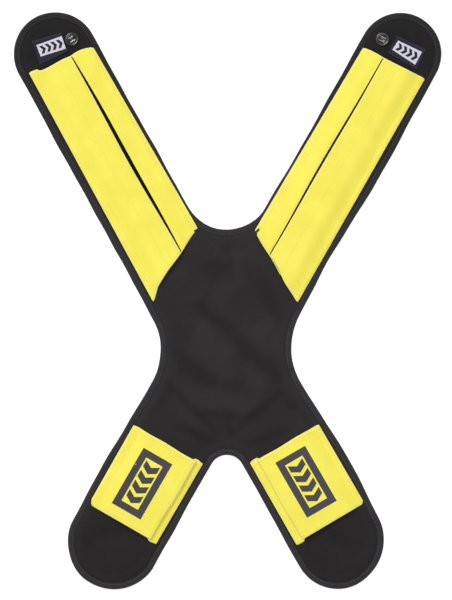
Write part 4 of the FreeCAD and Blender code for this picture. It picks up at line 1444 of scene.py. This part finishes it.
def makeLabel(arm):
    place, b = labelPlaces[arm], labelBuild
    hand = arm.split("_")[0]
    unit = np.stack(np.meshgrid(np.linspace(0, 1, 28), np.linspace(0, 1, 20), indexing="ij"), axis=-1)
    cut = onQuad(place["ground"], unit)
    v, s = cut[..., 0], cut[..., 1]
    thick = np.full_like(v, b["thick"])
    ground = sheetMesh(f"{hand}_label_ground", arm, v, s, labelHeight(arm, v, s), thick,
                       materials["labelNavy"])

    def weft(name, shapes, above, material):
        def surface(a, c):
            return labelHeight(arm, a, c) + b["thick"] / 2 - 0.00003 + above

        placed = [onQuad(place["white"], shape) for shape in splitShapes(shapes, 0.09)]
        return raisedShapes(name, arm, placed, surface, b["tuft"], material)

    field = [[(k / 12, m / 6), ((k + 1) / 12, m / 6), ((k + 1) / 12, (m + 1) / 6), (k / 12, (m + 1) / 6)]
             for k in range(12) for m in range(6)]
    white = weft(f"{hand}_label_thread", field, 0, materials["labelWhite"])
    marks = arrows(0.07, 0.95, 0.17, 0.83, b["marks"], 0.12)
    dark = weft(f"{hand}_label_marks", marks, 0.00010, materials["labelNavy"])
    for piece in (ground, white, dark):
        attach(piece, f"{arm}_arm")
    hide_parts(f"{hand}_woven_label")
    rows = []
    for edge in (0.05, 0.95):
        spots = onQuad(place["ground"], [(t, edge) for t in np.linspace(0.03, 0.97, 24)])
        across, along = spots[:, 0], spots[:, 1]
        rows.append(list(onArm(arm, across, along, labelHeight(arm, across, along) + 0.0002)))
    stitched = sewRows(f"{hand}_label_stitches", rows, "black")
    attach(stitched, f"{arm}_arm")


def labelHeight(arm, v, s):
    v, s = np.asarray(v, float), np.asarray(s, float)
    lift = 0.0010 * ease((s - 0.001) / 0.004)
    return padSurface(arm, v, s) + 0.00035 + lift


for arm in labelPlaces:
    makeLabel(arm)
report("labels woven")

# printed patches

patchPlaces = {"left_lower": dict(v=(-0.0245, 0.0120), s=(0.0368, 0.1070)),
               "right_lower": dict(v=(-0.0205, 0.0172), s=(0.0420, 0.1118))}
patchBuild = dict(border=0.0078, marks=4, ink=0.00008, pitch=0.003)


def makePatch(arm):
    hand = arm.split("_")[0]
    place, b = patchPlaces[arm], patchBuild
    (v0, v1), (s0, s1) = place["v"], place["s"]
    tree = flapTrees[arm]

    def surface(a, c):
        spots = onArm(arm, a, c, 0.03)
        return np.array([tree.ray_cast(Vector(p), Vector((0, 0, -1)))[0].z for p in spots]) + 0.00003

    w = b["border"]
    bars = splitShapes(frameShapes(v0, v1, s0, s1, w), b["pitch"])
    a0, a1, c0, c1 = v0 + w + 0.0018, v1 - w - 0.0018, s0 + w + 0.0025, s1 - w - 0.0030
    pitch = (c1 - c0) / b["marks"]
    middle, stroke = (a0 + a1) / 2, pitch * 0.64
    marks = []
    for k in range(b["marks"]):
        low = c0 + pitch * k
        high = low + pitch * 0.42
        marks.append([(a0, high), (middle, low), (middle, low + stroke), (a0, high + stroke)])
        marks.append([(middle, low), (a1, high), (a1, high + stroke), (middle, low + stroke)])
    marks = splitShapes(marks, b["pitch"])
    printed = raisedShapes(f"{hand}_band_patch", arm, bars + marks, surface, b["ink"], materials["ink"])
    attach(printed, f"{hand}_band_flap")
    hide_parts(f"{hand}_band_print")


for arm in patchPlaces:
    makePatch(arm)
report("patches printed")

# snap sockets

# the socket's section as (distance from the axis, height), from its back round to the bore
snapBuild = dict(wire=0.00042, apart=0.0052, reach=0.0050, up=0.0013, bow=0.0003, around=72,
                 profile=[(0.0, 0.0), (0.0070, 0.0), (0.0074, 0.0003), (0.0075, 0.0009), (0.0075, 0.0023),
                          (0.0073, 0.0029), (0.0069, 0.0031), (0.0062, 0.0032), (0.0057, 0.0029),
                          (0.0053, 0.0028), (0.0050, 0.0030), (0.0047, 0.0034), (0.0044, 0.0034),
                          (0.0041, 0.0031), (0.0040, 0.0026), (0.0041, 0.0018), (0.0059, 0.0018),
                          (0.0059, 0.0008), (0.0, 0.0008)])


def snapAxis(hand):
    low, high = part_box(f"{hand}_snap_socket")
    return (low[0] + high[0]) / 2, (low[1] + high[1]) / 2, low[2]


def makeSocket(hand):
    # a rolled rim, a shallow groove, a bead round the bore and a chamber, all turned about the snap's axis
    x, y, z = snapAxis(hand)
    profile, around = snapBuild["profile"], snapBuild["around"]
    vertices = [(x, y, z)]
    for reach, height in profile[1:-1]:
        for k in range(around):
            angle = 2 * math.pi * k / around
            vertices.append((x + reach * math.cos(angle), y + reach * math.sin(angle), z + height))
    vertices.append((x, y, z + profile[-1][1]))
    rings, last = len(profile) - 2, len(vertices) - 1
    faces = []
    for k in range(around):
        j = (k + 1) % around
        faces.append((0, 1 + j, 1 + k))
        faces.append((last, 1 + (rings - 1) * around + k, 1 + (rings - 1) * around + j))
        for m in range(rings - 1):
            a, b = 1 + m * around, 1 + (m + 1) * around
            faces.append((a + k, a + j, b + j, b + k))
    return faceOutwards(meshObject(f"{hand}_snap_ring", vertices, faces, materials["snapBlack"]))


def makeSpring(hand):
    # two wires across the arm, each bowed a little towards the stud
    b, arm = snapBuild, arms[f"{hand}_upper"]
    x, y, z = snapAxis(hand)
    steps, sides = 17, 10
    vertices, faces = [], []
    for side in (-1, 1):
        first = len(vertices)
        for k in range(steps):
            t = -1 + 2 * k / (steps - 1)
            reach = b["reach"] * t
            offset = side * (b["apart"] / 2 - b["bow"] * (1 - t * t))
            for m in range(sides):
                angle = 2 * math.pi * m / sides
                beside, up = b["wire"] * math.cos(angle), b["wire"] * math.sin(angle)
                spot = np.array([x, y]) + arm["inner"] * reach + arm["along"] * (offset + beside)
                vertices.append((spot[0], spot[1], z + b["up"] + up))
        for k in range(steps - 1):
            for m in range(sides):
                a, c = first + k * sides + m, first + k * sides + (m + 1) % sides
                faces.append((a, c, c + sides, a + sides))
        end = first + steps * sides - 1
        faces.append(tuple(range(first, first + sides)))
        faces.append(tuple(range(end, end - sides, -1)))
    return faceOutwards(meshObject(f"{hand}_snap_wires", vertices, faces, materials["wire"]))


for hand in hands:
    for piece, part in ((makeSocket(hand), "socket"), (makeSpring(hand), "spring")):
        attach(piece, f"{hand}_upper_arm")
        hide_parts(f"{hand}_snap_{part}")
    cap = bpy.data.objects.get(f"{hand}_snap_cap")
    cap.data.materials.clear()
    cap.data.materials.append(materials["snapBlack"])
report("snaps set")

# floor, light and camera

studio = dict(floor=(0.90, 0.90, 0.90), floorDrop=0.0002, glow=0.55, fill=0.40,
              view=(-0.0011, 0.0014, 2.0), viewHeight=0.660)
lights = dict(keyLight=dict(place=(-2.0, 2.5, 4.2), size=2.6, power=147.0),
              fillLight=dict(place=(0.5, -0.3, 2.0), size=1.5, power=13.5))


def makeFloor():
    bpy.ops.mesh.primitive_plane_add(size=8)
    floor = bpy.context.object
    floor.name = "studio_floor"
    floor.location.z = -studio["floorDrop"]
    m = Nodes("paleFloor")
    m.set(Base_Color=colour(*studio["floor"]), Roughness=0.9, Specular_IOR_Level=0.1,
          Emission_Strength=studio["glow"])
    m.shader.inputs["Emission Color"].default_value = colour(1, 1, 1)
    floor.data.materials.append(m.material)


def makeLights():
    world = bpy.data.worlds.new("studioWorld")
    bpy.context.scene.world = world
    world.use_nodes = True
    background = world.node_tree.nodes["Background"]
    background.inputs[0].default_value = colour(1, 1, 1)
    background.inputs[1].default_value = studio["fill"]
    for name, lamp in lights.items():
        data = bpy.data.lights.new(name, "AREA")
        data.shape = "DISK"
        data.size = lamp["size"]
        data.energy = lamp["power"]
        light = bpy.data.objects.new(name, data)
        light.location = lamp["place"]
        light.rotation_euler = (-Vector(lamp["place"])).to_track_quat("-Z", "Y").to_euler()
        bpy.context.scene.collection.objects.link(light)


def makeCamera():
    camera = bpy.data.objects.new("camera", bpy.data.cameras.new("camera"))
    camera.data.type = "ORTHO"
    camera.data.ortho_scale = studio["viewHeight"]
    camera.location = studio["view"]
    bpy.context.scene.collection.objects.link(camera)
    bpy.context.scene.camera = camera
    bpy.context.scene.view_settings.view_transform = "Standard"


makeFloor()
makeLights()
makeCamera()
report("studio set")
